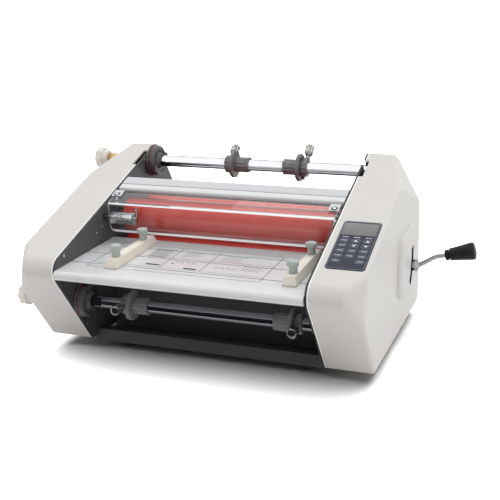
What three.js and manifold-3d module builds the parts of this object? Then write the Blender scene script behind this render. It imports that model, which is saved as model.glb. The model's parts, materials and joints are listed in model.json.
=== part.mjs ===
// Desktop roll laminator: two moulded side covers round steel side plates, a slotted feed table,
// two pairs of rollers behind a clear guard, and an upper and a lower supply shaft for film.
// Millimetres. Inside the machine group: x runs across the machine from the middle of the rollers,
// y runs from front to back, z runs up from the floor.
import * as THREE from "three";
import { mergeVertices } from "three/addons/utils/BufferGeometryUtils.js";
import Module from "manifold-3d";

const wasm = await Module();
wasm.setup();

// ---------------------------------------------------------------- driving dimensions
const GAP = 0.3; // clearance between touching pieces
const PLATE_IN = 187; // inner face of each side plate, from the middle
const PLATE_THICK = 3;
const PLATE_OUT = PLATE_IN + PLATE_THICK;
const COVER_OUT = 262; // outer face of each side cover
const WALL = 3; // cover wall
const MACHINE_CENTRE = { x: 35.96, y: -21.03 }; // middle of the whole box, knobs and lever included

// Side outline of a cover, counter-clockwise seen from +X: y, z, corner radius.
const SIDE = [
  [-140, 22, 6],
  [196, 22, 14],
  [180, 201, 10],
  [115.6, 293, 20],
  [-246, 165.3, 22],
];
const SIDE_STEPS = 9; // facets of each rounded corner of that outline
const SLOPE_RISE = (SIDE[3][1] - SIDE[4][1]) / (SIDE[3][0] - SIDE[4][0]);
const SLOPE = Math.atan(SLOPE_RISE); // tilt of the cover's long upper face
const slopeZ = (y) => SIDE[4][1] + (y - SIDE[4][0]) * SLOPE_RISE;

const FILM_SHAFT = { r: 9.5, from: -173.7, to: 196 };
const UPPER_SHAFT = { y: 93, z: 263.5 };
const LOWER_SHAFT = { y: -163.5, z: 94 };
const CORE = { sleeve: 12.7, flange: 22.5, collar: 15 }; // radii of a core chuck for 1 inch tube
const CHUCKS = { upper: [-31, 76.5], lower: [-96.5, 147.5] }; // x of each sleeve's root, left and right
const THUMB_LEAN = { upper: [55, 40], lower: [-85, -89] }; // degrees from straight up, towards the back

const ROLLER_HALF = 173; // half the face of every roller
const NIP_Z = 168;
const HEAT = { y: -22, r: 26, teeth: 21, module: 2.495 };
const PULL = { y: 59.3, r: 22.3, teeth: 18, module: 2.495 };
const NIP_OPEN = 2.2; // opening of the front nip with the lever at mid travel
const NIP_SHUT = 0.3;
const JOURNAL_R = 7;
const HEAT_LOW_Z = NIP_Z - HEAT.r;
const HEAT_HIGH_Z = NIP_Z + NIP_OPEN + HEAT.r;
const PULL_LOW_Z = NIP_Z - PULL.r;
const PULL_HIGH_Z = NIP_Z + NIP_SHUT + PULL.r;

const GEAR_X = -209; // outer face of the gears, in the left cover
const GEAR_WIDE = 7;
const GEAR_BORE = JOURNAL_R + 0.6;
const IDLER_TEETH = 13;
const PINION_TEETH = 12;

const TABLE = { y: -231, z: 159.5, tilt: 1.9, deep: 174, half: PLATE_IN - 0.5, nose: 7 };
const SLOTS = [46, 92.5, 131]; // T-slots, measured back from the table's nose
const GUIDE = { half: 10, high: 14, from: 27, long: 131, left: -111, right: 157.5 };

const HINGE = { y: -44, z: 226, r: 2 }; // guard's hinge line and pin
const GUARD = {
  half: 183.4,
  thick: 3,
  top: [-42, slopeZ(-42) - 0.6],
  bend: [-75.5, slopeZ(-75.5) - 0.6],
  foot: [-70.5, 178],
};
const LATCH = { z: 205.5, y: -82 };

// Cam shaft under the bearing blocks: its round lobes sit off centre towards the back, so the swing
// of the lever lifts or lowers a block by offset * sin(swing). `aim` is the arm's slope in degrees.
const CAM = { y: 15, z: 134, r: 6, lobe: 10, offset: 5.85, arm: 69.5, aim: -13.3 };
const LEVER_SWING = 20;
const armEnd = {
  y: CAM.y + CAM.arm * Math.cos(THREE.MathUtils.degToRad(CAM.aim)),
  z: CAM.z + CAM.arm * Math.sin(THREE.MathUtils.degToRad(CAM.aim)),
};

const KEYPAD = { x: 228, y: -133.6, wide: 54, long: 113.8, thick: 1.5 };
const TRAY = { front: -126, back: 184, lip: 34, bottom: 15 };
const FEET = { x: 150, front: -92, back: 150, r: 15, high: TRAY.bottom - GAP };

// ---------------------------------------------------------------- finishes
const finish = (color, roughness, metalness = 0, extra = {}) =>
  new THREE.MeshStandardMaterial({ color, roughness, metalness, ...extra });
const FINISH = {
  cover: finish(0xe3e0dc, 0.45),
  plate: finish(0x2b2b2d, 0.5, 0.3),
  tray: finish(0x3a3a3c, 0.5, 0.3),
  white: finish(0xe9ebee, 0.35),
  steel: finish(0xc9ccd0, 0.2, 1),
  zinc: finish(0xbfc2c6, 0.35, 1),
  brass: finish(0xb79a55, 0.3, 1),
  chuck: finish(0x4a4b4e, 0.5),
  silicone: finish(0xb0453c, 0.45),
  clear: finish(0xdfe8ea, 0.05, 0, { transparent: true, opacity: 0.3 }),
  cream: finish(0xe6dfd3, 0.5),
  greyKnob: finish(0xa9b4b3, 0.45),
  ivory: finish(0xddd8d0, 0.45),
  black: finish(0x161618, 0.3),
  keypad: finish(0x3c3d48, 0.35),
  rubber: finish(0x1c1c1e, 0.8),
  nylon: finish(0xe8e6e0, 0.5),
  board: finish(0x2f6b45, 0.5),
};

// ---------------------------------------------------------------- geometry helpers
const DEG = Math.PI / 180;

// Keeps positions only, welds them, and turns the faces outwards.
function weld(geometry) {
  const bare = geometry.clone();
  for (const name of Object.keys(bare.attributes)) {
    if (name !== "position") bare.deleteAttribute(name);
  }
  const merged = mergeVertices(bare, 1e-4);
  const p = merged.attributes.position;
  const index = [];
  for (let i = 0; i < merged.index.count; i += 3) {
    const face = [0, 1, 2].map((k) => merged.index.getX(i + k));
    if (new Set(face).size === 3) index.push(...face);
  }
  const a = new THREE.Vector3();
  const b = new THREE.Vector3();
  const c = new THREE.Vector3();
  let volume = 0;
  for (let i = 0; i < index.length; i += 3) {
    a.fromBufferAttribute(p, index[i]);
    b.fromBufferAttribute(p, index[i + 1]);
    c.fromBufferAttribute(p, index[i + 2]);
    volume += a.dot(b.cross(c));
  }
  if (volume < 0) {
    index.reverse();
  }
  merged.setIndex(index);
  return merged;
}

function toSolid(geometry) {
  const g = weld(geometry);
  return new wasm.Manifold(
    new wasm.Mesh({
      numProp: 3,
      vertProperties: new Float32Array(g.attributes.position.array),
      triVerts: new Uint32Array(g.index.array),
    }),
  );
}

function fromSolid(solid) {
  const mesh = solid.getMesh();
  const g = new THREE.BufferGeometry();
  g.setAttribute("position", new THREE.BufferAttribute(new Float32Array(mesh.vertProperties), 3));
  g.setIndex(new THREE.BufferAttribute(new Uint32Array(mesh.triVerts), 1));
  return g;
}

const combine = (how) => (first, ...rest) => {
  let solid = toSolid(first);
  for (const other of rest) {
    solid = solid[how](toSolid(other));
  }
  return fromSolid(solid);
};
const cut = combine("subtract");
const join = combine("add");

// Turns (radians, in the order x, y, z) and then moves a geometry.
function place(geometry, x = 0, y = 0, z = 0, rx = 0, ry = 0, rz = 0) {
  const turn = new THREE.Matrix4().makeRotationFromEuler(new THREE.Euler(rx, ry, rz));
  return geometry.clone().applyMatrix4(turn).translate(x, y, z);
}

const mirrored = (geometry) => weld(geometry.clone().scale(-1, 1, 1));
const box = (x0, x1, y0, y1, z0, z1) =>
  place(new THREE.BoxGeometry(x1 - x0, y1 - y0, z1 - z0), (x0 + x1) / 2, (y0 + y1) / 2, (z0 + z1) / 2);

// Axes of an outline (u, v) swept along a third direction: u, v, sweep.
const ALONG_X = new THREE.Matrix4().makeBasis(
  new THREE.Vector3(0, 1, 0),
  new THREE.Vector3(0, 0, 1),
  new THREE.Vector3(1, 0, 0),
);

// Sweeps a closed (y, z) outline along x, with its far end rounded by `round`.
function sweepX(points, x0, x1, round = 0) {
  const shape = new THREE.Shape(points);
  const g = new THREE.ExtrudeGeometry(shape, {
    depth: x1 - x0 - 2 * round,
    bevelEnabled: round > 0,
    bevelThickness: round,
    bevelSize: round,
    bevelOffset: -round,
    bevelSegments: 3,
    steps: 1,
  });
  return g.applyMatrix4(ALONG_X).translate(x0 + round, 0, 0);
}

const sweepZ = (points, z0, z1) =>
  new THREE.ExtrudeGeometry(new THREE.Shape(points), { depth: z1 - z0, bevelEnabled: false, steps: 1 })
    .translate(0, 0, z0);

// Turns a profile of [along, radius] pairs, which starts and ends on the axis, about +Z or +X.
function latheZ(profile, segments = 16) {
  const points = profile.map(([along, radius]) => new THREE.Vector2(radius, along));
  return new THREE.LatheGeometry(points, segments).rotateX(Math.PI / 2);
}
const latheX = (profile, segments = 16) => latheZ(profile, segments).rotateY(Math.PI / 2);

const rodX = (r, x0, x1, y, z, segments = 14) =>
  place(latheX([[x0, 0], [x0, r], [x1, r], [x1, 0]], segments), 0, y, z);
const rodZ = (r, z0, z1, x, y, segments = 14) =>
  place(latheZ([[z0, 0], [z0, r], [z1, r], [z1, 0]], segments), x, y, 0);

// Closed counter-clockwise outline with rounded corners [u, v, radius], moved inwards by `inset`.
function outline(corners, inset = 0, steps = 5) {
  const n = corners.length;
  const edges = corners.map(([u, v], i) => {
    const [u2, v2] = corners[(i + 1) % n];
    const d = new THREE.Vector2(u2 - u, v2 - v).normalize();
    const inward = new THREE.Vector2(-d.y, d.x);
    return { p: new THREE.Vector2(u, v).addScaledVector(inward, inset), d };
  });
  const points = [];
  corners.forEach(([, , radius], i) => {
    const before = edges[(i + n - 1) % n];
    const after = edges[i];
    const cross = before.d.cross(after.d);
    const gap = after.p.clone().sub(before.p);
    const corner = before.p.clone().addScaledVector(before.d, gap.cross(after.d) / cross);
    const turn = Math.atan2(cross, before.d.dot(after.d));
    const r = turn > 0 ? Math.max(radius - inset, 0) : radius;
    if (r < 0.05) {
      points.push(corner);
      return;
    }
    const tangent = r * Math.tan(Math.abs(turn) / 2);
    const start = corner.clone().addScaledVector(before.d, -tangent);
    const side = Math.sign(turn);
    const centre = start.clone().add(new THREE.Vector2(-before.d.y, before.d.x).multiplyScalar(side * r));
    for (let k = 0; k <= steps; k += 1) {
      points.push(start.clone().rotateAround(centre, (turn * k) / steps));
    }
  });
  return points;
}

const rounded = (u0, u1, v0, v1, r, steps = 4) =>
  outline([[u0, v0, r], [u1, v0, r], [u1, v1, r], [u0, v1, r]], 0, steps);

// A large block that fills the side of a plane that its normal points to.
function beyond(normal, point) {
  const size = 700;
  const n = new THREE.Vector3(...normal).normalize();
  const q = new THREE.Quaternion().setFromUnitVectors(new THREE.Vector3(0, 0, 1), n);
  return new THREE.BoxGeometry(size, size, size)
    .translate(0, 0, size / 2)
    .applyQuaternion(q)
    .translate(...point);
}

// The band of material round a polyline of [u, v] points, `thick` wide to its left.
function strip(points, thick) {
  const line = points.map(([u, v]) => new THREE.Vector2(u, v));
  const offset = line.map((p, i) => {
    const a = line[Math.max(i - 1, 0)];
    const b = line[Math.min(i + 1, line.length - 1)];
    const before = p === a ? b.clone().sub(p).normalize() : p.clone().sub(a).normalize();
    const after = p === b ? before : b.clone().sub(p).normalize();
    const mean = before.clone().add(after).normalize();
    const normal = new THREE.Vector2(-mean.y, mean.x);
    const reach = thick / Math.max(normal.dot(new THREE.Vector2(-before.y, before.x)), 0.3);
    return p.clone().addScaledVector(normal, reach);
  });
  return [...line, ...offset.reverse()];
}

const group = new THREE.Group();
const machine = new THREE.Group();
machine.position.set(-MACHINE_CENTRE.x, -MACHINE_CENTRE.y, 0);
group.add(machine);

function add(name, geometry, material, parent = machine) {
  const mesh = new THREE.Mesh(weld(geometry), material);
  mesh.name = name;
  parent.add(mesh);
  return mesh;
}

// ---------------------------------------------------------------- side covers
const CORNER_CUT = { normal: [0.912, 0.13, 0.389], at: [COVER_OUT, 15, slopeZ(15)] };
const CHEEK_CUT = { normal: [0.846, -0.515, 0.138], at: [COVER_OUT, -193, slopeZ(-193)] };
const OUTER_FACE = { normal: [1, 0, 0], at: [COVER_OUT, 0, 0] };
const RIDGE = { wide: 30, narrow: 14, step: 12 }; // radii of the rounded ridges, and degrees per facet
const NOTCH = { from: 38, to: 84, wide: 7 };

const inwardOf = ({ normal, at }, depth) => {
  const n = new THREE.Vector3(...normal).normalize();
  return beyond(normal, new THREE.Vector3(...at).addScaledVector(n, -depth).toArray());
};

// The faces that a swept side outline makes, each as its outward normal and a point on it.
const outlineFaces = (points) => points.map((p, i) => {
  const q = points[(i + 1) % points.length];
  return { normal: [0, q.y - p.y, p.x - q.x], at: [0, p.x, p.y] };
});

const facing = (a, b) =>
  new THREE.Vector3(...a.normal).normalize().dot(new THREE.Vector3(...b.normal).normalize());

// Facets that round the ridge between two faces.
function ridgeFacets(a, b, radius) {
  const [n1, n2] = [a, b].map(({ normal }) => new THREE.Vector3(...normal).normalize());
  const c = n1.dot(n2);
  const apart = new THREE.Vector3(...b.at).sub(new THREE.Vector3(...a.at)).dot(n2) / (1 - c * c);
  const middle = new THREE.Vector3(...a.at)
    .addScaledVector(n1, -c * apart)
    .addScaledVector(n2, apart)
    .addScaledVector(n1.clone().add(n2), -radius / (1 + c));
  const turn = Math.acos(c);
  const steps = Math.ceil(turn / (RIDGE.step * DEG));
  const facets = [];
  for (let k = 1; k < steps; k += 1) {
    const t = (turn * k) / steps;
    const n = n1.clone().multiplyScalar(Math.sin(turn - t)).addScaledVector(n2, Math.sin(t)).normalize();
    facets.push({ normal: n.toArray(), at: middle.clone().addScaledVector(n, radius).toArray() });
  }
  return facets;
}

// The slanting faces at the cover's upper rear and front corners, with their rounded ridges.
function slantFaces() {
  const faces = outlineFaces(outline(SIDE, 0, SIDE_STEPS));
  return [CORNER_CUT, CHEEK_CUT].flatMap((slant) => [
    slant,
    ...ridgeFacets(OUTER_FACE, slant, RIDGE.wide),
    ...faces.filter((face) => facing(face, slant) > 0.25)
      .flatMap((face) => ridgeFacets(face, slant, RIDGE.narrow)),
  ]);
}

// Shell of the right cover, open towards the side plate.
function coverShell() {
  const round = 5;
  const from = PLATE_OUT + GAP;
  const slants = slantFaces();
  const skin = cut(
    sweepX(outline(SIDE, 0, SIDE_STEPS), from - round, COVER_OUT, round),
    box(0, from, -400, 400, -50, 400),
    ...slants.map((face) => inwardOf(face, 0)),
  );
  const hollow = cut(
    sweepX(outline(SIDE, WALL, SIDE_STEPS), from - 1, COVER_OUT - WALL),
    ...slants.map((face) => inwardOf(face, WALL)),
  );
  return cut(skin, hollow);
}

// The opening over the supply shaft's seat in the cover's upper edge.
const shaftNotch = () =>
  box(PLATE_IN - 5, PLATE_OUT + NOTCH.wide, NOTCH.from, NOTCH.to, 240, 300);

const BOSS = {
  base: [[2, 84, 20], [112, 66, 24], [126, 160, 24], [100, 180, 20], [2, 180, 20]],
  rise: 7,
  ramp: 17,
};

// The raised pad on the right cover that the pressure lever's slot runs through.
function leverBoss() {
  const pad = new THREE.ExtrudeGeometry(new THREE.Shape(outline(BOSS.base)), {
    depth: 1,
    bevelEnabled: true,
    bevelThickness: BOSS.rise - 0.5,
    bevelSize: BOSS.ramp,
    bevelOffset: -BOSS.ramp,
    bevelSegments: 3,
  }).applyMatrix4(ALONG_X);
  return cut(pad.translate(COVER_OUT - 0.5, 0, 0), box(0, COVER_OUT - 1, -300, 300, 0, 300));
}

// The curved slot that the lever's rod moves in, about the cam shaft.
function leverSlot() {
  const wide = 7.5;
  const reach = LEVER_SWING + 5;
  const points = [];
  for (const [radius, sign] of [[CAM.arm + wide, 1], [CAM.arm - wide, -1]]) {
    for (let k = -6; k <= 6; k += 1) {
      const angle = (CAM.aim + (sign * reach * k) / 6) * DEG;
      points.push(new THREE.Vector2(CAM.y + radius * Math.cos(angle), CAM.z + radius * Math.sin(angle)));
    }
  }
  return sweepX(points, COVER_OUT - 20, COVER_OUT + 20);
}

const REAR_LEAN = Math.atan2(SIDE[1][0] - SIDE[2][0], SIDE[2][1] - SIDE[1][1]);
const rearY = (z) => SIDE[1][0] - (z - SIDE[1][1]) * Math.tan(REAR_LEAN);
const INLET = { x: 226, z: 66, wide: 28, high: 22 };
const ROCKER = { x: 226, z: 108, wide: 13, high: 20 };

// A block on the leaning rear wall of the right cover: x, z of its middle, its size, and its
// depth in front of and behind the wall's outer face.
function onRearWall(item, grow, inside, outside) {
  const w = item.wide + grow;
  const h = item.high + grow;
  const block = box(-w / 2, w / 2, -inside, outside, -h / 2, h / 2);
  return place(block, item.x, rearY(item.z), item.z, REAR_LEAN);
}

const KEY_SPOT = { y: KEYPAD.y, z: slopeZ(KEYPAD.y) };
const onSlope = (geometry, rise) =>
  place(geometry, 0, KEY_SPOT.y - rise * Math.sin(SLOPE), KEY_SPOT.z + rise * Math.cos(SLOPE), SLOPE);

function coverRight() {
  const recess = sweepZ(
    rounded(KEYPAD.x - KEYPAD.wide / 2 - 0.5, KEYPAD.x + KEYPAD.wide / 2 + 0.5,
      -KEYPAD.long / 2 - 0.5, KEYPAD.long / 2 + 0.5, 5),
    -0.8, 5,
  );
  return cut(
    join(coverShell(), leverBoss()),
    leverSlot(),
    onSlope(recess, 0),
    shaftNotch(),
    onRearWall(INLET, 0.8, 8, 8),
    onRearWall({ ...ROCKER, wide: 14.6, high: 21.6 }, 0, 8, 8),
  );
}

const BUSH_R = 9;

function coverLeft() {
  return cut(
    mirrored(cut(coverShell(), shaftNotch())),
    rodX(BUSH_R + 1, -COVER_OUT - 20, -PLATE_OUT - 10, UPPER_SHAFT.y, UPPER_SHAFT.z),
    rodX(BUSH_R + 1, -COVER_OUT - 20, -PLATE_OUT - 10, LOWER_SHAFT.y, LOWER_SHAFT.z),
  );
}

add("cover_left", coverLeft(), FINISH.cover);
add("cover_right", coverRight(), FINISH.cover);

// ---------------------------------------------------------------- side plates
const PLATE_INSET = 0.5; // how far the plate's edge stays inside the covers' outline
const SEAT = { r: FILM_SHAFT.r + 0.6, out: 40 };

// An open slot from a shaft's seat to beyond the plate's edge; `aim` is its direction in degrees.
function seatSlot(shaft, aim) {
  const points = [];
  for (let k = 0; k <= 8; k += 1) {
    const angle = (aim + 90 + (180 * k) / 8) * DEG;
    points.push([shaft.y + SEAT.r * Math.cos(angle), shaft.z + SEAT.r * Math.sin(angle)]);
  }
  const far = [SEAT.out * Math.cos(aim * DEG), SEAT.out * Math.sin(aim * DEG)];
  points.push([points[8][0] + far[0], points[8][1] + far[1]]);
  points.push([points[0][0] + far[0], points[0][1] + far[1]]);
  return sweepX(points.map(([u, v]) => new THREE.Vector2(u, v)), 100, 240);
}

const JOURNAL_SLOT = 4; // travel of the upper front roller's journal up and down, with room to spare

function rollerHoles() {
  const r = JOURNAL_R + 0.4;
  const lifting = sweepX(
    rounded(HEAT.y - r, HEAT.y + r, HEAT_HIGH_Z - r - JOURNAL_SLOT, HEAT_HIGH_Z + r + JOURNAL_SLOT, r - 0.1),
    100, 240,
  );
  return [
    lifting,
    rodX(r, 100, 240, HEAT.y, HEAT_LOW_Z),
    rodX(r, 100, 240, PULL.y, PULL_LOW_Z),
    rodX(r, 100, 240, PULL.y, PULL_HIGH_Z),
    rodX(CAM.r + 0.4, 100, 240, CAM.y, CAM.z),
    rodX(HINGE.r + 0.4, 100, 240, HINGE.y, HINGE.z, 10),
  ];
}

const plateBlank = () => sweepX(outline(SIDE, PLATE_INSET, SIDE_STEPS), PLATE_IN, PLATE_OUT);

function plateLeft() {
  const stub = 7;
  const latchHole = rodX(4, 100, 240, LATCH.y, LATCH.z, 12);
  return mirrored(cut(
    plateBlank(),
    ...rollerHoles(),
    rodX(stub, 100, 240, UPPER_SHAFT.y, UPPER_SHAFT.z),
    rodX(stub, 100, 240, LOWER_SHAFT.y, LOWER_SHAFT.z),
    latchHole,
  ));
}

const plateRight = () =>
  cut(plateBlank(), ...rollerHoles(), seatSlot(UPPER_SHAFT, 125), seatSlot(LOWER_SHAFT, 206));

add("side_plate_left", plateLeft(), FINISH.plate);
add("side_plate_right", plateRight(), FINISH.plate);

// ---------------------------------------------------------------- base, feet and rear
const INNER = PLATE_IN - 0.4; // half width of everything that spans between the side plates

// Folded tray: front lip with a return, floor and a low rear upstand.
function baseTray() {
  const t = 2;
  const path = [
    [TRAY.front + 14, TRAY.lip],
    [TRAY.front, TRAY.lip],
    [TRAY.front, TRAY.bottom],
    [TRAY.back, TRAY.bottom],
    [TRAY.back, TRAY.lip],
  ];
  return sweepX(strip(path, t), -INNER, INNER);
}
add("base_tray", baseTray(), FINISH.tray);

function foot() {
  const r = FEET.r;
  return latheZ([[0, 0], [0, r - 2], [1.5, r], [9, r - 1], [FEET.high, r - 5], [FEET.high, 0]]);
}
for (const [side, x] of [["left", -FEET.x], ["right", FEET.x]]) {
  add(`foot_front_${side}`, foot(), FINISH.rubber).position.set(x, FEET.front, 0);
  add(`foot_rear_${side}`, foot(), FINISH.rubber).position.set(x, FEET.back, 0);
}

// Wall behind the film bay, with a flange turned back at its top and bottom.
const BAY_WALL = { y: -66, top: 112 };
add("bay_wall", sweepX(strip([
  [BAY_WALL.y + 14, TRAY.bottom + 2 + GAP],
  [BAY_WALL.y, TRAY.bottom + 2 + GAP],
  [BAY_WALL.y, BAY_WALL.top],
  [BAY_WALL.y + 12, BAY_WALL.top + 4],
].reverse(), 1.6), -INNER, INNER), FINISH.tray);

// Rear panel below the exit slot, with its top edge turned back inwards.
const EXIT_Z = 146;
add("rear_panel", sweepX(strip([
  [150, EXIT_Z],
  [rearY(EXIT_Z) - 6, EXIT_Z],
  [TRAY.back - 3.5, TRAY.lip + 6],
  [TRAY.back - 3.5, TRAY.bottom + 2 + GAP],
  [TRAY.back - 16, TRAY.bottom + 2 + GAP],
], -1.6).reverse(), -INNER, INNER), FINISH.tray);

// ---------------------------------------------------------------- top bar
const BAR = { from: -33, to: 3, thick: 12 };

// Extrusion across the top, flush with the covers, with a lower step along its front edge.
function topBar() {
  const long = (BAR.to - BAR.from) / Math.cos(SLOPE);
  const section = outline([
    [0, -BAR.thick, 1],
    [long, -BAR.thick, 1],
    [long, 0, 3],
    [5, 0, 2],
    [5, -2.5, 0],
    [0, -2.5, 1.5],
  ], 0, 3);
  const turned = section.map((p) => p.rotateAround(new THREE.Vector2(), SLOPE)
    .add(new THREE.Vector2(BAR.from, slopeZ(BAR.from) - 0.6)));
  return sweepX(turned, -INNER, INNER);
}
add("top_bar", topBar(), FINISH.white);

// ---------------------------------------------------------------- feed table and its side guides
const table = new THREE.Group();
table.position.set(0, TABLE.y, TABLE.z);
table.rotation.x = TABLE.tilt * DEG;
machine.add(table);

// One T-slot in the table's top, walked from back to front.
const slotTop = (y) => [
  [y + 1.6, 0], [y + 1.6, -2], [y + 4.7, -2], [y + 4.7, -5.6],
  [y - 4.7, -5.6], [y - 4.7, -2], [y - 1.6, -2], [y - 1.6, 0],
];
// The channel below it, walked from front to back.
const slotBelow = (y) => [[y - 6.7, -3.5], [y - 6.7, -7.6], [y + 6.7, -7.6], [y + 6.7, -3.5]];

function feedTable() {
  const nose = [];
  for (let k = 0; k <= 8; k += 1) {
    const angle = (90 + (180 * k) / 8) * DEG;
    nose.push([TABLE.nose * Math.cos(angle), -TABLE.nose + TABLE.nose * Math.sin(angle)]);
  }
  const points = [
    [TABLE.deep, 0],
    ...[...SLOTS].reverse().flatMap(slotTop),
    ...nose,
    [14, -2 * TABLE.nose],
    [14, -3.5],
    ...SLOTS.flatMap(slotBelow),
    [TABLE.deep, -3.5],
  ];
  return sweepX(points.map(([u, v]) => new THREE.Vector2(u, v)), -TABLE.half, TABLE.half);
}
add("feed_table", feedTable(), FINISH.white, table);

// Side guide: a bar with sloping sides and ends, and a hole for each clamp knob's stud.
function sideGuide() {
  const { half, high, from, long } = GUIDE;
  const lean = 3.2;
  const section = outline([[-half, GAP, 0], [half, GAP, 0], [half, 4, 0.5],
    [half - lean, high, 1.5], [-half + lean, high, 1.5], [-half, 4, 0.5]], 0, 2);
  const bar = new THREE.ExtrudeGeometry(new THREE.Shape(section), { depth: long, bevelEnabled: false })
    .rotateX(Math.PI / 2).translate(0, from + long, 0);
  const frontCut = beyond([0, -1, 0.35], [0, from, 3]);
  const backCut = beyond([0, 1, 0.35], [0, from + long, 3]);
  const holes = [SLOTS[0], SLOTS[2]].map((y) => rodZ(2.2, -5, high + 5, 0, y, 12));
  return cut(bar, frontCut, backCut, ...holes);
}

// Clamp knob: stud head in the T-slot, stud, stem and a cupped head with three lobes.
function guideKnob() {
  const base = GUIDE.high + GAP;
  const top = GUIDE.high + 17.5;
  const stem = 6;
  const lobeAt = 5.6;
  const body = latheZ([[-4.9, 0], [-4.9, 4], [-2.5, 4], [-2.5, 1.25], [base, 1.25], [base, stem],
    [top - 9, stem], [top - 7, 7.4], [top, 7.8], [top, 6], [top - 2.5, 0]], 12);
  const lobes = [90, 210, 330].map((turn) =>
    rodZ(3.2, top - 6.8, top - 0.4, lobeAt * Math.cos(turn * DEG), lobeAt * Math.sin(turn * DEG), 8));
  const hollow = latheZ([[top - 3, 0], [top - 3, 4.4], [top + 9, 5.8], [top + 9, 0]], 12);
  return cut(join(body, ...lobes), hollow);
}

for (const [side, x] of [["left", GUIDE.left], ["right", GUIDE.right]]) {
  add(`side_guide_${side}`, sideGuide(), FINISH.cream, table).position.x = x;
  for (const [end, y] of [["front", SLOTS[0]], ["rear", SLOTS[2]]]) {
    add(`guide_knob_${side}_${end}`, guideKnob(), FINISH.greyKnob, table).position.set(x, y, 0);
  }
}

// ---------------------------------------------------------------- film supply shafts
const filmShaft = () => latheX([
  [FILM_SHAFT.from, 0], [FILM_SHAFT.from, FILM_SHAFT.r - 1], [FILM_SHAFT.from + 1, FILM_SHAFT.r],
  [FILM_SHAFT.to - 1, FILM_SHAFT.r], [FILM_SHAFT.to, FILM_SHAFT.r - 1], [FILM_SHAFT.to, 0],
], 20);

// Friction disc on a stub axle that runs out through the plate to the tension knob. Its short hub
// takes the end of the shaft.
function frictionDisc() {
  const body = latheX([
    [-251, 0], [-251, 5], [-186.4, 5], [-186.4, 21], [-183.2, 21], [-183.2, 24.5], [-181.4, 24.5],
    [-181.4, 25.5], [-174, 25.5], [-172, 23], [-172, 13.5], [-169, 12.6], [-167, 10.6], [-167, 0],
  ], 24);
  return cut(body, rodX(FILM_SHAFT.r + 0.4, FILM_SHAFT.from - 1, -150, 0, 0));
}

const THUMB_REACH = 12.8; // from a sleeve's root out to its thumb screw

// Core chuck, sleeve pointing to +X from its flange: collar, flange with two ears, ribbed sleeve.
function coreChuck() {
  const body = latheX([
    [-17, 0], [-17, CORE.collar - 1], [-16, CORE.collar], [-8.5, CORE.collar], [-8.5, 12.6], [-6.5, 12.6],
    [-6.5, CORE.flange - 1], [-5.5, CORE.flange], [-1, CORE.flange], [0, CORE.flange - 1],
    [0, CORE.sleeve], [24, CORE.sleeve - 0.8], [24, 0],
  ], 14);
  const ribs = [0, 90, 180, 270].map((turn) =>
    box(-1, 22, -1.6, 1.6, CORE.sleeve - 2, CORE.sleeve + 0.9).rotateX(turn * DEG));
  const thread = latheZ([[0, 0], [0, 3.3], [30, 3.3], [30, 0]], 8).translate(-THUMB_REACH, 0, 0);
  return cut(join(body, ...ribs), rodX(FILM_SHAFT.r + 0.7, -40, 60, 0, 0), thread);
}

// Knurled thumb screw that locks a chuck on its shaft, pointing up.
const thumbScrew = () => latheZ([
  [FILM_SHAFT.r + 0.4, 0], [FILM_SHAFT.r + 0.4, 3], [22, 3], [22, 5], [25, 5.4], [25, 7], [26, 7.6],
  [41, 7.6], [42, 6.8], [42, 0],
], 14);

function supplyAxle(level, shaft) {
  const axle = new THREE.Group();
  axle.position.set(0, shaft.y, shaft.z);
  machine.add(axle);
  add(`${level}_supply_shaft`, filmShaft(), FINISH.steel, axle);
  add(`${level}_friction_disc`, frictionDisc(), FINISH.chuck, axle);
  for (const [k, side] of ["left", "right"].entries()) {
    const chuck = new THREE.Group();
    chuck.position.x = CHUCKS[level][k];
    axle.add(chuck);
    const geometry = side === "left" ? coreChuck() : mirrored(coreChuck());
    const lean = THUMB_LEAN[level][k];
    add(`${level}_chuck_${side}`, geometry.rotateX(-lean * DEG), FINISH.chuck, chuck);
    const reach = side === "left" ? -THUMB_REACH : THUMB_REACH;
    const screw = thumbScrew().translate(reach, 0, 0).rotateX(-lean * DEG);
    add(`${level}_thumb_screw_${side}`, screw, FINISH.zinc, chuck);
  }
}
supplyAxle("upper", UPPER_SHAFT);
supplyAxle("lower", LOWER_SHAFT);

// Threaded brass bush in the left plate that the stub axle runs in.
const BUSH = { from: -PLATE_OUT - GAP, to: -280, r: BUSH_R };
const tensionBush = () => cut(
  latheX([[BUSH.to, 0], [BUSH.to, 7], [BUSH.to + 14, 7], [BUSH.to + 14, BUSH.r], [-202, BUSH.r],
    [-202, 15], [BUSH.from, 15], [BUSH.from, 0]]),
  rodX(5.4, -300, -150, 0, 0),
);

// Lobed tension knob with a blind bore for the bush.
const TENSION_KNOB = { in: -270.5, out: -297, r: 18.5, lobes: 6 };

function tensionKnob() {
  const points = [];
  const steps = TENSION_KNOB.lobes * 3;
  for (let k = 0; k < steps; k += 1) {
    const angle = (2 * Math.PI * k) / steps;
    const r = TENSION_KNOB.r - 1.6 * (1 - Math.cos(angle * TENSION_KNOB.lobes)) / 2;
    points.push(new THREE.Vector2(r * Math.cos(angle), r * Math.sin(angle)));
  }
  const grip = sweepX(points, TENSION_KNOB.out, TENSION_KNOB.in - 8, 2);
  const neck = rodX(13, TENSION_KNOB.in - 10, TENSION_KNOB.in, 0, 0);
  return cut(join(grip, neck), rodX(7 + GAP, BUSH.to - 1, -200, 0, 0));
}

for (const [level, shaft] of [["upper", UPPER_SHAFT], ["lower", LOWER_SHAFT]]) {
  add(`${level}_tension_bush`, tensionBush(), FINISH.brass).position.set(0, shaft.y, shaft.z);
  add(`${level}_tension_knob`, tensionKnob(), FINISH.ivory).position.set(0, shaft.y, shaft.z);
}

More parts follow.
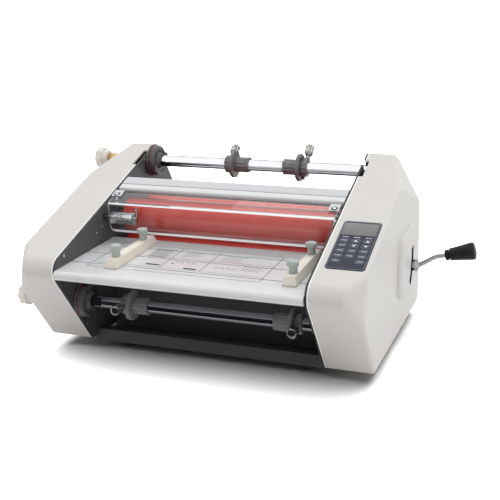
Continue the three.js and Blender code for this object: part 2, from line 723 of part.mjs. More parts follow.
// ---------------------------------------------------------------- rollers
function roller(r, left, right) {
  return latheX([
    [left, 0], [left, JOURNAL_R], [-ROLLER_HALF - 4, JOURNAL_R],
    [-ROLLER_HALF - 4, r - 5], [-ROLLER_HALF, r - 5], [-ROLLER_HALF, r],
    [ROLLER_HALF, r], [ROLLER_HALF, r - 5], [ROLLER_HALF + 4, r - 5],
    [ROLLER_HALF + 4, JOURNAL_R], [right, JOURNAL_R], [right, 0],
  ], 18);
}

const SHORT_END = 200;
const GEAR_END = GEAR_X - 2;
add("upper_heat_roller", roller(HEAT.r, GEAR_END, SHORT_END), FINISH.silicone)
  .position.set(0, HEAT.y, HEAT_HIGH_Z);
add("lower_heat_roller", roller(HEAT.r, GEAR_END, SHORT_END), FINISH.silicone)
  .position.set(0, HEAT.y, HEAT_LOW_Z);
add("upper_pull_roller", roller(PULL.r, -SHORT_END, SHORT_END), FINISH.silicone)
  .position.set(0, PULL.y, PULL_HIGH_Z);
add("lower_pull_roller", roller(PULL.r, GEAR_END, SHORT_END), FINISH.silicone)
  .position.set(0, PULL.y, PULL_LOW_Z);

// Sliding block that carries one journal of the upper front roller; its foot rides over the cam.
const BLOCK = { in: PLATE_OUT + GAP, out: 200.5, half: 13, high: 14 };

function bearingBlock() {
  const foot = { from: CAM.y - 6, to: CAM.y + 12, z: CAM.z + CAM.lobe + GAP };
  const under = HEAT_HIGH_Z - BLOCK.high;
  const section = outline([
    [HEAT.y - BLOCK.half, under, 2],
    [foot.from - 12, under, 2],
    [foot.from, foot.z + 10, 0],
    [foot.from, foot.z, 1],
    [foot.to, foot.z, 1],
    [foot.to, foot.z + 22, 3],
    [HEAT.y + BLOCK.half, HEAT_HIGH_Z + BLOCK.high, 3],
    [HEAT.y - BLOCK.half, HEAT_HIGH_Z + BLOCK.high, 3],
  ], 0, 2);
  return cut(
    sweepX(section, BLOCK.in, BLOCK.out),
    rodX(JOURNAL_R + 0.4, 150, 250, HEAT.y, HEAT_HIGH_Z),
  );
}
add("bearing_block_left", mirrored(bearingBlock()), FINISH.nylon);
add("bearing_block_right", bearingBlock(), FINISH.nylon);

// ---------------------------------------------------------------- drive gears and motor
// Spur gear about +X with straight-flanked teeth; `phase` turns it by that share of one tooth.
function gear(teeth, module, bore, phase = 0) {
  const pitch = (teeth * module) / 2;
  const inner = pitch - 1.3 * module;
  const outer = pitch + 0.85 * module;
  const tooth = (2 * Math.PI) / teeth;
  const points = [];
  for (let k = 0; k < teeth; k += 1) {
    for (const [share, r] of [[-0.29, inner], [-0.11, outer], [0.11, outer], [0.29, inner]]) {
      const angle = (k + phase + share) * tooth;
      points.push(new THREE.Vector2(r * Math.cos(angle), r * Math.sin(angle)));
    }
  }
  return cut(sweepX(points, 0, GEAR_WIDE), rodX(bore, -5, GEAR_WIDE + 5, 0, 0, 10));
}

// Phase that sets a gear's tooth gap on the line to its driver, whose own phase is known.
// `aim` is the direction from the driver to the gear, in degrees.
function meshPhase(driverTeeth, driverPhase, teeth, aim) {
  const turn = aim / 360;
  const atDriver = turn * driverTeeth - driverPhase;
  const back = ((aim + 180) / 360) * teeth;
  return back + 0.5 + atDriver;
}

const directionTo = (a, b) => (Math.atan2(b.z - a.z, b.y - a.y)) / DEG;
const LOW = { y: HEAT.y, z: HEAT_LOW_Z };
const HIGH = { y: HEAT.y, z: HEAT_HIGH_Z };
const REAR = { y: PULL.y, z: PULL_LOW_Z };
const step = HEAT.module / 2;
const idlerReach = step * (HEAT.teeth + IDLER_TEETH) + 0.15;
const idlerAim = directionTo(LOW, REAR);
const IDLER = {
  y: LOW.y + idlerReach * Math.cos(idlerAim * DEG),
  z: LOW.z + idlerReach * Math.sin(idlerAim * DEG),
};
const PINION_AIM = -118;
const pinionReach = step * (HEAT.teeth + PINION_TEETH) + 0.15;
const PINION = {
  y: LOW.y + pinionReach * Math.cos(PINION_AIM * DEG),
  z: LOW.z + pinionReach * Math.sin(PINION_AIM * DEG),
};

const lowPhase = 0;
const idlerPhase = meshPhase(HEAT.teeth, lowPhase, IDLER_TEETH, idlerAim);
const gears = [
  ["lower_heat_gear", LOW, HEAT.teeth, GEAR_BORE, lowPhase],
  ["upper_heat_gear", HIGH, HEAT.teeth, GEAR_BORE, meshPhase(HEAT.teeth, lowPhase, HEAT.teeth, 90)],
  ["idler_gear", IDLER, IDLER_TEETH, 4, idlerPhase],
  ["lower_pull_gear", REAR, PULL.teeth, GEAR_BORE,
    meshPhase(IDLER_TEETH, idlerPhase, PULL.teeth, idlerAim)],
  ["motor_pinion", PINION, PINION_TEETH, 4.3, meshPhase(HEAT.teeth, lowPhase, PINION_TEETH, PINION_AIM)],
];
for (const [name, at, teeth, bore, phase] of gears) {
  add(name, gear(teeth, HEAT.module, bore, phase), FINISH.zinc).position.set(GEAR_X, at.y, at.z);
}

// Geared motor: round motor, gearbox plate and output shaft through the pinion.
function gearMotor() {
  const motor = latheX([[-201, 0], [-201, 3.8], [-212, 3.8], [-212, 22], [-222, 22], [-222, 18],
    [-252, 18], [-254, 16], [-254, 0]]);
  return join(motor, box(-220, -212.5, -30, 30, -16, 16));
}
add("gear_motor", gearMotor(), FINISH.zinc).position.set(0, PINION.y, PINION.z);

// ---------------------------------------------------------------- clear guard and its latch
const guardShield = () =>
  sweepX(strip([GUARD.top, GUARD.bend, GUARD.foot], GUARD.thick), -GUARD.half, GUARD.half);
add("guard_shield", guardShield(), FINISH.clear);

// Hinge tab: a leaf on top of the shield, with an ear past the shield's end that holds the pin.
function guardTab() {
  const end = PLATE_IN - 1.4;
  const leaf = box(end - 16, end, -17, 1, GAP, 2);
  const ear = box(end - 1.8, end, HINGE.y - 4, HINGE.y + 3.5, HINGE.z - 4, HINGE.z + 10.2);
  const pin = rodX(HINGE.r, end - 1, PLATE_OUT - 0.5, HINGE.y, HINGE.z, 10);
  return join(place(leaf, 0, ...GUARD.top, SLOPE), ear, pin);
}
add("guard_tab_right", guardTab(), FINISH.zinc);
add("guard_tab_left", mirrored(guardTab()), FINISH.zinc);

// Bracket of the barrel latch: back plate, an ear near the side plate, and the barrel.
function latchBracket() {
  const { y, z } = LATCH;
  const back = box(-178, -134, -76.6, -75.2, z - 13, z + 6);
  const ear = box(-176, -174.5, y - 5, -76, z - 12, z + 5);
  const web = box(-150, -138, y + 2, -76, z - 3, z + 3);
  const barrel = rodX(4.4, -151, -137, y, z);
  return cut(join(back, ear, web, barrel), rodX(3.1, -200, -100, y, z));
}
add("latch_bracket", latchBracket(), FINISH.zinc);

// Bolt with a pointed tip, a shoulder for the spring, and a bent handle.
function latchBolt() {
  const bolt = latheX([[-186.6, 0], [-183, 2.6], [-171.2, 2.6], [-171.2, 4.2], [-169.8, 4.2], [-169.8, 2.6],
    [-130, 2.6], [-128, 1.5], [-128, 0]], 14);
  return join(bolt, rodZ(2.2, 0, 15, -131.5, 0, 12));
}
add("latch_bolt", latchBolt(), FINISH.steel).position.set(0, LATCH.y, LATCH.z);

// Compression spring between the bolt's shoulder and the inner ear.
class Helix extends THREE.Curve {
  constructor(r, from, to, turns) {
    super();
    Object.assign(this, { r, from, to, turns });
  }

  getPoint(t, target = new THREE.Vector3()) {
    const angle = 2 * Math.PI * this.turns * t;
    const along = this.from + (this.to - this.from) * t;
    return target.set(along, this.r * Math.cos(angle), this.r * Math.sin(angle));
  }
}

function latchSpring() {
  const wire = new THREE.Shape(rounded(-0.5, 0.5, -0.5, 0.5, 0));
  return new THREE.ExtrudeGeometry(wire, {
    steps: 54, extrudePath: new Helix(3.7, -169, -151.8, 5.5), bevelEnabled: false,
  });
}
add("latch_spring", latchSpring(), FINISH.steel).position.set(0, LATCH.y, LATCH.z);

// ---------------------------------------------------------------- pressure lever
// Cam shaft through both plates: a cam under each bearing block, and the lever's arm on its right.
function camShaft() {
  const shaft = rodX(CAM.r, -BLOCK.out, 258, 0, 0);
  const cams = [[-BLOCK.out, -BLOCK.in - 1], [BLOCK.in + 1, BLOCK.out]].map(([from, to]) =>
    rodX(CAM.lobe, from, to, CAM.offset, 0));
  const arm = box(248, 256, 0, CAM.arm, -6, 6).rotateX(CAM.aim * DEG);
  const end = rodX(9, 248, 256, armEnd.y - CAM.y, armEnd.z - CAM.z);
  const hole = rodX(4.1, 240, 270, armEnd.y - CAM.y, armEnd.z - CAM.z);
  return cut(join(shaft, ...cams, arm, end), hole);
}
add("lift_cam_shaft", camShaft(), FINISH.zinc).position.set(0, CAM.y, CAM.z);

const ROD_R = 3.75;
const BEND = [[246, 0], [280, 0], [305, 16.5], [342, 25.8]]; // x and rise of the rod's straight runs

// Bent rod with a round nut outside the cover.
function leverRod() {
  const path = new THREE.CurvePath();
  const points = BEND.map(([x, z]) => new THREE.Vector3(x, 0, z));
  const radius = 7;
  let from = points[0];
  for (let k = 1; k < points.length - 1; k += 1) {
    const before = points[k].clone().sub(points[k - 1]).setLength(radius);
    const after = points[k + 1].clone().sub(points[k]).setLength(radius);
    const start = points[k].clone().sub(before);
    const end = points[k].clone().add(after);
    path.add(new THREE.LineCurve3(from, start));
    path.add(new THREE.QuadraticBezierCurve3(start, points[k], end));
    from = end;
  }
  path.add(new THREE.LineCurve3(from, points[points.length - 1]));
  const round = new THREE.Shape().absarc(0, 0, ROD_R, 0, 2 * Math.PI, false);
  const rod = new THREE.ExtrudeGeometry(round, {
    steps: 22, extrudePath: path, curveSegments: 3, bevelEnabled: false,
  });
  const nut = latheX([[270, 0], [270, 8.5], [271, 9.3], [279, 9.3], [281, 7.5], [281, 0]]);
  return join(rod, nut);
}
add("lever_rod", leverRod(), FINISH.steel).position.set(0, armEnd.y, armEnd.z);

// Tapered grip on the rod's end.
function leverGrip() {
  const [x0, z0] = BEND[2];
  const [x1, z1] = BEND[3];
  const lean = Math.atan2(z1 - z0, x1 - x0);
  const body = latheX([[-22, 0], [-22, 8], [-20.5, 9], [-17, 9], [-15.5, 8], [-14, 10.2], [0, 11.6],
    [16, 13.8], [21, 14.2], [24, 12.6], [25.5, 9], [26, 0]]);
  const bore = rodX(ROD_R + GAP, -40, 5, 0, 0, 16);
  return place(cut(body, bore), x1, armEnd.y, armEnd.z + z1, 0, -lean);
}
add("lever_grip", leverGrip(), FINISH.black);

// ---------------------------------------------------------------- keypad, board and power entry
function keypadMembrane() {
  const { x, wide, long, thick } = KEYPAD;
  const pad = sweepZ(rounded(x - wide / 2, x + wide / 2, -long / 2, long / 2, 4.5), 0, thick);
  const opening = box(x - 25, x + 24, 34.6, 52.4, 0.7, 5);
  return onSlope(cut(pad, opening), -0.5);
}
add("keypad_membrane", keypadMembrane(), FINISH.keypad);

function controlBoard() {
  const plate = box(KEYPAD.x - 24, KEYPAD.x + 24, -52, 50, -14, -12.4);
  const parts = [
    box(KEYPAD.x - 20, KEYPAD.x - 4, -46, -20, -24, -13),
    box(KEYPAD.x + 4, KEYPAD.x + 18, -40, -26, -22, -13),
    rodZ(5, -26, -13, KEYPAD.x + 12, 0, 14),
    box(KEYPAD.x - 18, KEYPAD.x + 18, 30, 44, -18, -13),
  ];
  return onSlope(join(plate, ...parts), 0);
}
add("control_board", controlBoard(), FINISH.board);

function powerInlet() {
  const body = onRearWall(INLET, 0, 24, 1);
  const flange = onRearWall({ ...INLET, wide: 34, high: 28 }, 0, -GAP, 2.4);
  const socket = onRearWall({ ...INLET, wide: 24, high: 17 }, 0, 18, 10);
  const pins = [-7, 0, 7].map((x, k) =>
    onRearWall({ x: INLET.x + x, z: INLET.z + (k === 1 ? 3 : -3), wide: 2, high: 5 }, 0, 19, -2));
  return join(cut(join(body, flange), socket), ...pins);
}
add("power_inlet", powerInlet(), FINISH.black);

function rocker() {
  const body = onRearWall(ROCKER, 0, 6, 2.4);
  return cut(body, onRearWall({ ...ROCKER, wide: 30, high: 8 }, 0, -1.6, 8));
}
add("power_rocker", rocker(), FINISH.black);

export default group;
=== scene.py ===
import json
import math

import bmesh
import bpy
from mathutils import Matrix, Vector


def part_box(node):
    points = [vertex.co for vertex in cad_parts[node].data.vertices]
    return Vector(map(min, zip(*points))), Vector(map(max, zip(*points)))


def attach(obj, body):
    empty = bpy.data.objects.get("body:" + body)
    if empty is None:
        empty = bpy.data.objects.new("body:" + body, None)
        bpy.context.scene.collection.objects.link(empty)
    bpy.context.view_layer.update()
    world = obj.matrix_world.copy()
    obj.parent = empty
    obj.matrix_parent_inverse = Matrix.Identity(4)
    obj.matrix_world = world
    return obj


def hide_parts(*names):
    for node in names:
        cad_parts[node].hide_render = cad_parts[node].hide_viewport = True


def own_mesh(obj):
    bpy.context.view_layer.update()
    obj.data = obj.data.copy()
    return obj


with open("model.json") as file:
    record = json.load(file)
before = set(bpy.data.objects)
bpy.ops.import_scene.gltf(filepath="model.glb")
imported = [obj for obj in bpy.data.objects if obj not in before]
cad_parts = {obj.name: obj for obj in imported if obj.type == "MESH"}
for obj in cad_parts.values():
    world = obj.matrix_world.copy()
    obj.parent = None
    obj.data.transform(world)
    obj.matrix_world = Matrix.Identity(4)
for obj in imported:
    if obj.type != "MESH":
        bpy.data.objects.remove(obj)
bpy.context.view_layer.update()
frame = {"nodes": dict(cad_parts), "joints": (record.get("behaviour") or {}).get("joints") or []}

# ------------------------------------------------------------------ places, taken from the frame
# Inside this script a length is in millimetres and a point is in the machine's own axes: x from the
# middle of the rollers, y from front to back, z up from the floor.
MM = 0.001
JOINTS = {j["name"]: j for j in frame["joints"]}
HEAT_Y = -22  # the front rollers' axis
PLATE_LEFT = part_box("side_plate_left")
PLATE_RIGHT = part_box("side_plate_right")
MID_X = (PLATE_LEFT[0].x + PLATE_RIGHT[1].x) / 2
MID_Y = JOINTS["lower_heat_spin"]["pos_m"][1] - HEAT_Y * MM
TO_ROW = Matrix.Translation((MID_X, MID_Y, 0)) @ Matrix.Scale(MM, 4)
TO_MACHINE = TO_ROW.inverted()


def machine(point):
    """A point of the frame, in metres, in the machine's axes."""
    return TO_MACHINE @ Vector(point)


def pivot(joint):
    return machine(JOINTS[joint]["pos_m"])


def box(node):
    low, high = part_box(node)
    return machine(low), machine(high)


def turn_x(degrees):
    return Matrix.Rotation(math.radians(degrees), 4, "X")


def shift(x=0.0, y=0.0, z=0.0):
    return Matrix.Translation((x, y, z))


PLATE_IN = box("side_plate_right")[0].x
COVER_OUT = -box("cover_left")[0].x
UPPER = pivot("upper_supply_spin")
LOWER = pivot("lower_supply_spin")
KEYPAD_LOW, KEYPAD_HIGH = box("keypad_membrane")
SLOPE = math.degrees(math.atan2(293 - 165.3, 115.6 + 246))  # tilt of the covers' long upper face
SLOPE_AT = (-246, 165.3)  # y and z of a point on that face
TABLE = Vector((0, -231, 159.5))  # front edge of the table's top
TILT = 1.9


def slope_z(y):
    return SLOPE_AT[1] + (y - SLOPE_AT[0]) * math.tan(math.radians(SLOPE))


# ------------------------------------------------------------------ materials
SPECK_FROM = (0.62, 0.66)  # the grain's values between which the flecks set in
BUMP_DEPTH = 0.2 * MM


def blend(m, share, first, second):
    """Mixes two colours, each a list of numbers or another node's output, by `share`."""
    mix = m.node_tree.nodes.new("ShaderNodeMix")
    mix.data_type = "RGBA"
    m.node_tree.links.new(share, mix.inputs[0])
    for socket, color in ((mix.inputs[6], first), (mix.inputs[7], second)):
        if isinstance(color, bpy.types.NodeSocket):
            m.node_tree.links.new(color, socket)
        else:
            socket.default_value = (*color, 1)
    return mix.outputs[2]


def material(name, color, roughness, metallic=0.0, grain=0.1, grain_size=1.2, mottle=0.03,
             mottle_size=60, rough_change=0.06, stretch=(1, 1, 1), speck=None, rim=None, **sockets):
    """A procedural finish: fine surface grain as bump, slow drift of colour, and uneven gloss.

    Sizes are in millimetres. `stretch` scales the grain's axes, which turns it into brushed lines.
    `speck` is the colour of small flecks. `rim` is (colour, distance): a painted highlight, the
    colour of all that lies nearer the machine's middle plane than that distance. `sockets` are
    constants on the shader."""
    m = bpy.data.materials.new(name)
    m.use_nodes = True
    nodes, links = m.node_tree.nodes, m.node_tree.links
    shader = nodes["Principled BSDF"]
    shader.inputs["Metallic"].default_value = metallic
    for socket, value in sockets.items():
        shader.inputs[socket.replace("_", " ")].default_value = value

    place = nodes.new("ShaderNodeTexCoord")
    mapping = nodes.new("ShaderNodeMapping")
    mapping.inputs["Scale"].default_value = stretch
    links.new(place.outputs["Object"], mapping.inputs["Vector"])

    fine = nodes.new("ShaderNodeTexNoise")
    fine.inputs["Scale"].default_value = 1 / (grain_size * MM)
    fine.inputs["Detail"].default_value = 3
    links.new(mapping.outputs["Vector"], fine.inputs["Vector"])
    bump = nodes.new("ShaderNodeBump")
    bump.inputs["Strength"].default_value = grain
    bump.inputs["Distance"].default_value = BUMP_DEPTH
    links.new(fine.outputs["Fac"], bump.inputs["Height"])
    links.new(bump.outputs["Normal"], shader.inputs["Normal"])

    drift = nodes.new("ShaderNodeTexNoise")
    drift.inputs["Scale"].default_value = 1 / (mottle_size * MM)
    drift.inputs["Detail"].default_value = 4
    links.new(place.outputs["Object"], drift.inputs["Vector"])
    low, high = ([min(c * share, 1.0) for c in color] for share in (1 - mottle, 1 + mottle))
    tone = blend(m, drift.outputs["Fac"], low, high)

    if speck:
        share = nodes.new("ShaderNodeMapRange")
        share.inputs["From Min"].default_value, share.inputs["From Max"].default_value = SPECK_FROM
        links.new(fine.outputs["Fac"], share.inputs["Value"])
        tone = blend(m, share.outputs["Result"], tone, speck)
    # Painted highlight: the rim colour covers all that lies within the given distance of the middle
    # plane.
    if rim:
        painted_highlight_color, reach = rim
        value = nodes.new("ShaderNodeSeparateXYZ")
        links.new(nodes.new("ShaderNodeNewGeometry").outputs["Position"], value.inputs[0])
        for operation, number in (("SUBTRACT", TO_ROW.translation.x), ("ABSOLUTE", 0),
                                  ("LESS_THAN", reach * MM)):
            step = nodes.new("ShaderNodeMath")
            step.operation = operation
            step.inputs[1].default_value = number
            links.new(value.outputs[0], step.inputs[0])
            value = step
        tone = blend(m, value.outputs[0], tone, painted_highlight_color)
    links.new(tone, shader.inputs["Base Color"])

    gloss = nodes.new("ShaderNodeMapRange")
    gloss.inputs["To Min"].default_value = max(roughness - rough_change, 0.0)
    gloss.inputs["To Max"].default_value = roughness + rough_change
    links.new(drift.outputs["Fac"], gloss.inputs["Value"])
    links.new(gloss.outputs["Result"], shader.inputs["Roughness"])
    return m


LATHED = (1, 0.03, 0.03)  # stretches the grain round an axis along X
COVER_IN = -box("cover_left")[1].x
# The cover's rim colour is a painted highlight: a light line along the edge where each cover meets
# its plate.
COVER = material("cover_plastic", (0.622, 0.603, 0.580), 0.42, grain=0.12, grain_size=0.9,
                 mottle=0.012, rim=((0.95, 0.95, 0.93), COVER_IN + 1.5))
PLATE = material("plate_powder", (0.074, 0.074, 0.08), 0.5, grain=0.35, grain_size=0.8,
                 mottle=0.12, speck=(0.09, 0.09, 0.095))
TRAY = material("tray_powder", (0.05, 0.05, 0.054), 0.45, grain=0.35, grain_size=0.8, mottle=0.15,
                speck=(0.075, 0.075, 0.08))
WHITE = material("white_lacquer", (0.68, 0.69, 0.70), 0.24, grain=0.04, grain_size=3, mottle=0.012,
                 Coat_Weight=0.4, Coat_Roughness=0.12)
BAR = material("bar_lacquer", (0.55, 0.555, 0.58), 0.2, grain=0.04, grain_size=3, mottle=0.012,
               Coat_Weight=0.6, Coat_Roughness=0.08)
# Pale lining with a faint glow for the table's slots: painted light that lifts the shade inside
# them.
SLOT_GLOW = material("table_slot_glow", (0.62, 0.67, 0.71), 0.4, grain=0.1, mottle=0.05,
                     mottle_size=8, Emission_Color=(0.72, 0.8, 0.88, 1), Emission_Strength=0.07)
EDGE_DARK = (0.3, 0.3, 0.33, 1)  # what metals turn to where they are seen along the surface
STEEL = material("polished_steel", (0.86, 0.87, 0.89), 0.06, 1.0, grain=0.05, grain_size=0.25,
                 stretch=LATHED, rough_change=0.03, Specular_Tint=EDGE_DARK)
# A darker copy of the polished steel: painted shade for the lower shaft down in the bay.
SHADED_STEEL = material("shaded_steel", (0.36, 0.38, 0.41), 0.09, 1.0, grain=0.05, grain_size=0.25,
                     stretch=LATHED, rough_change=0.03, Specular_Tint=EDGE_DARK)
CHROME = material("dark_chrome", (0.42, 0.41, 0.41), 0.1, 1.0, grain=0.08, grain_size=0.8,
                  mottle=0.12, mottle_size=7, rough_change=0.04,
                  Specular_Tint=(0.12, 0.12, 0.13, 1))
ZINC = material("zinc_plate", (0.60, 0.61, 0.63), 0.24, 1.0, grain=0.12, grain_size=0.6,
                mottle=0.12, mottle_size=9, rough_change=0.1)
NICKEL = material("knurled_nickel", (0.52, 0.51, 0.49), 0.16, 1.0, grain=0.15, grain_size=0.5,
                  mottle=0.1, mottle_size=6, Specular_Tint=(0.1, 0.1, 0.1, 1))
BRASS = material("turned_brass", (0.62, 0.44, 0.17), 0.22, 1.0, grain=0.1, grain_size=0.3,
                 stretch=LATHED, mottle=0.1, mottle_size=8)
DISC = material("disc_nylon", (0.085, 0.086, 0.091), 0.28, grain=0.2, grain_size=0.9, mottle=0.08,
                mottle_size=14)
# Near-black for the plates' cut edges: painted shade of the narrow gaps between plates, covers and
# guard.
PLATE_EDGE_SHADE = material("plate_edge_shade", (0.02, 0.02, 0.022), 0.5, grain=0.3, grain_size=0.6, mottle=0.2)
CHUCK = material("chuck_nylon", (0.175, 0.178, 0.186), 0.3, grain=0.2, grain_size=0.9, mottle=0.08,
                 mottle_size=14)
SILICONE = material("red_silicone", (0.82, 0.055, 0.035), 0.2, grain=0.06, grain_size=2,
                    mottle=0.06, mottle_size=45, rough_change=0.07, Coat_Weight=0.25,
                    Coat_Roughness=0.1)
CLEAR = material("clear_sheet", (0.97, 0.99, 0.99), 0.004, grain=0.001, mottle=0.0,
                 rough_change=0.003, Transmission_Weight=1.0, IOR=1.45, Specular_IOR_Level=0.08)
# Frosty white of sawn sheet edges, with a faint glow that is painted light. It also paints the
# bend's highlight.
SAWN_AND_BEND_GLOW = material("sheet_edge_and_bend_glow", (0.95, 0.97, 0.98), 0.35, grain=0.3, grain_size=0.4, mottle=0.05,
                mottle_size=8, Emission_Color=(0.9, 0.95, 1.0, 1), Emission_Strength=0.12)
CREAM = material("cream_plastic", (0.79, 0.735, 0.645), 0.42, grain=0.15, grain_size=0.8,
                 mottle=0.04, mottle_size=20)
GREY = material("grey_green_plastic", (0.43, 0.47, 0.45), 0.38, grain=0.15, grain_size=0.8,
                mottle=0.06, mottle_size=9)
IVORY = material("ivory_plastic", (0.74, 0.70, 0.65), 0.42, grain=0.15, grain_size=0.8, mottle=0.03)
BLACK = material("black_gloss", (0.012, 0.012, 0.014), 0.16, grain=0.05, grain_size=1.5, mottle=0.2,
                 Specular_IOR_Level=0.2)
KEYPAD = material("keypad_print", (0.030, 0.035, 0.058), 0.5, grain=0.12, grain_size=0.5,
                  mottle=0.05, mottle_size=25, Specular_IOR_Level=0.22)
WINDOW = material("display_window", (0.125, 0.12, 0.13), 0.16, grain=0.03, mottle=0.12,
                  mottle_size=18, Coat_Weight=0.5, Coat_Roughness=0.05)
PRINT = material("keypad_ink", (0.66, 0.69, 0.74), 0.4, grain=0.05, mottle=0.05, mottle_size=5)
FAINT = material("keypad_faint_ink", (0.26, 0.285, 0.34), 0.5, grain=0.05, mottle=0.05,
                 mottle_size=5, Specular_IOR_Level=0.2)
RUBBER = material("black_rubber", (0.014, 0.014, 0.02), 0.6, grain=0.4, grain_size=0.9, mottle=0.2,
                  mottle_size=200)
NYLON = material("natural_nylon", (0.80, 0.78, 0.72), 0.42, grain=0.1, mottle=0.03)
BOARD = material("circuit_board", (0.02, 0.14, 0.06), 0.35, grain=0.3, grain_size=2.5, mottle=0.3,
                 mottle_size=4)
# Near-black. It paints shade: the plates' small holes, the thumb screws' slots, the lever slot's
# walls and the guard sheet's rear edge. It is also the black of the tab screws' washers and of the
# studio cards.
DARK = material("black_and_painted_shade", (0.006, 0.006, 0.007), 0.7, grain=0.1, mottle=0.1)
INK = material("table_ink", (0.02, 0.02, 0.024), 0.5, grain=0.05, mottle=0.15, mottle_size=3)
PALE_INK = material("pale_ink", (0.11, 0.12, 0.14), 0.5, grain=0.05, mottle=0.15, mottle_size=3)
RED_RING = material("red_fibre", (0.22, 0.015, 0.012), 0.5, grain=0.3, grain_size=0.6, mottle=0.1)


# ------------------------------------------------------------------ mesh helpers, in millimetres
SHARP_ANGLE = 35  # edges sharper than this, in degrees, stay sharp in the shading


def show(name, bm, finish, body, matrix=Matrix.Identity(4), replaces=()):
    """Makes a mesh into a piece that rides on a body. `bm` is in the machine's axes, or in axes of
    its own that `matrix` takes to them. `finish` is a material, or a list that the faces index."""
    bm.transform(TO_ROW @ matrix)
    if (TO_ROW @ matrix).determinant() < 0:
        bmesh.ops.reverse_faces(bm, faces=bm.faces)
    mesh = bpy.data.meshes.new(name)
    bm.to_mesh(mesh)
    bm.free()
    for m in finish if isinstance(finish, list) else [finish]:
        mesh.materials.append(m)
    mesh.polygons.foreach_set("use_smooth", [True] * len(mesh.polygons))
    mesh.set_sharp_from_angle(angle=math.radians(SHARP_ANGLE))
    piece = bpy.data.objects.new(name, mesh)
    bpy.context.scene.collection.objects.link(piece)
    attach(piece, body)
    if replaces:
        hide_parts(*replaces)
    return piece


def soften(bm, width, angle=30):
    """Rounds every edge that is sharper than `angle` degrees."""
    limit = math.radians(angle)
    edges = [e for e in bm.edges if e.is_manifold and e.calc_face_angle(0) > limit]
    bmesh.ops.bevel(bm, geom=edges, offset=width, segments=3, profile=0.5,
                    affect="EDGES", clamp_overlap=True)
    return bm


def lathe(profile, segments=72):
    """Turns (along, radius) pairs about the X axis. The profile starts and ends on the axis, or
    closes on itself where its ends are off it."""
    bm = bmesh.new()
    rings = []
    for along, radius in profile:
        if radius < 1e-6:
            rings.append([bm.verts.new((along, 0, 0))])
            continue
        angles = [2 * math.pi * k / segments for k in range(segments)]
        rings.append([bm.verts.new((along, radius * math.cos(a), radius * math.sin(a)))
                      for a in angles])
    if len(rings[0]) > 1:
        rings.append(rings[0])
    for a, b in zip(rings, rings[1:]):
        for k in range(segments):
            corners = [a[k % len(a)], a[(k + 1) % len(a)], b[(k + 1) % len(b)], b[k % len(b)]]
            face = list(dict.fromkeys(corners))
            if len(face) > 2:
                bm.faces.new(face)
    bmesh.ops.recalc_face_normals(bm, faces=bm.faces)
    return bm


def prism(outline, x0, x1, round_edges=0.0, angle=30):
    """A closed (y, z) outline swept along X."""
    bm = bmesh.new()
    near = [bm.verts.new((x0, y, z)) for y, z in outline]
    far = [bm.verts.new((x1, y, z)) for y, z in outline]
    bm.faces.new(near)
    bm.faces.new(far[::-1])
    for k in range(len(outline)):
        j = (k + 1) % len(outline)
        bm.faces.new((near[k], near[j], far[j], far[k]))
    bmesh.ops.recalc_face_normals(bm, faces=bm.faces)
    if round_edges:
        soften(bm, round_edges, angle=angle)
    return bm


def block(x0, x1, y0, y1, z0, z1, round_edges=0.0):
    return prism([(y0, z0), (y1, z0), (y1, z1), (y0, z1)], x0, x1, round_edges)


def merge(*parts):
    """Puts several bmeshes into the first one."""
    first = parts[0]
    for other in parts[1:]:
        mesh = bpy.data.meshes.new("merged")
        other.to_mesh(mesh)
        other.free()
        first.from_mesh(mesh)
        bpy.data.meshes.remove(mesh)
    return first


def placed(bm, matrix):
    bm.transform(matrix)
    return bm


def smooth_path(points, radius, steps=6):
    """The polyline through `points` with its corners rounded to `radius`."""
    points = [Vector(p) for p in points]
    path = [points[0]]
    for before, corner, after in zip(points, points[1:], points[2:]):
        start = corner + (before - corner).normalized() * radius
        end = corner + (after - corner).normalized() * radius
        for k in range(steps + 1):
            t = k / steps
            path.append(start * (1 - t) ** 2 + corner * 2 * t * (1 - t) + end * t ** 2)
    path.append(points[-1])
    return path


def tube(path, radius, sides=24):
    """A round bar along a path, with flat ends."""
    bm = bmesh.new()
    rings = []
    tangent = (path[1] - path[0]).normalized()
    side = tangent.orthogonal().normalized()
    for k, point in enumerate(path):
        ahead = path[min(k + 1, len(path) - 1)] - path[max(k - 1, 0)]
        new_tangent = ahead.normalized()
        side = tangent.rotation_difference(new_tangent) @ side
        tangent = new_tangent
        up = tangent.cross(side)
        ring = []
        for j in range(sides):
            a = 2 * math.pi * j / sides
            ring.append(bm.verts.new(point + (side * math.cos(a) + up * math.sin(a)) * radius))
        rings.append(ring)
    for a, b in zip(rings, rings[1:]):
        for j in range(sides):
            bm.faces.new((a[j], a[(j + 1) % sides], b[(j + 1) % sides], b[j]))
    bm.faces.new(rings[0])
    bm.faces.new(rings[-1])
    bmesh.ops.recalc_face_normals(bm, faces=bm.faces)
    return bm


def fluted(radius, depth, count, x0, x1, steps=4, round_edges=0.0):
    """A bar along X whose rim has `count` flutes."""
    total = count * steps
    outline = []
    for k in range(total):
        a = 2 * math.pi * k / total
        r = radius - depth * (1 - math.cos(a * count)) / 2
        outline.append((r * math.cos(a), r * math.sin(a)))
    return prism(outline, x0, x1, round_edges, angle=60)


def to_z(bm):
    """Turns a piece made along X so that it stands along Z."""
    return placed(bm, Matrix.Rotation(-math.pi / 2, 4, "Y"))


def screw_head(radius, height):
    """A domed screw head along X, its seat at x = 0."""
    return lathe([(0, 0), (0, radius), (height * 0.35, radius), (height * 0.8, radius * 0.7),
                  (height, radius * 0.25), (height, 0)], 24)


# ------------------------------------------------------------------ finish of the CAD's own nodes
def dress(node, finish):
    """Gives a CAD node its finish and shades it by the weight of its faces."""
    o = frame["nodes"][node]
    o.data.materials.clear()
    o.data.materials.append(finish)
    o.data.polygons.foreach_set("use_smooth", [True] * len(o.data.polygons))
    o.data.set_sharp_from_angle(angle=math.radians(30))
    flatten = o.modifiers.new("normals", "WEIGHTED_NORMAL")
    flatten.keep_sharp = True


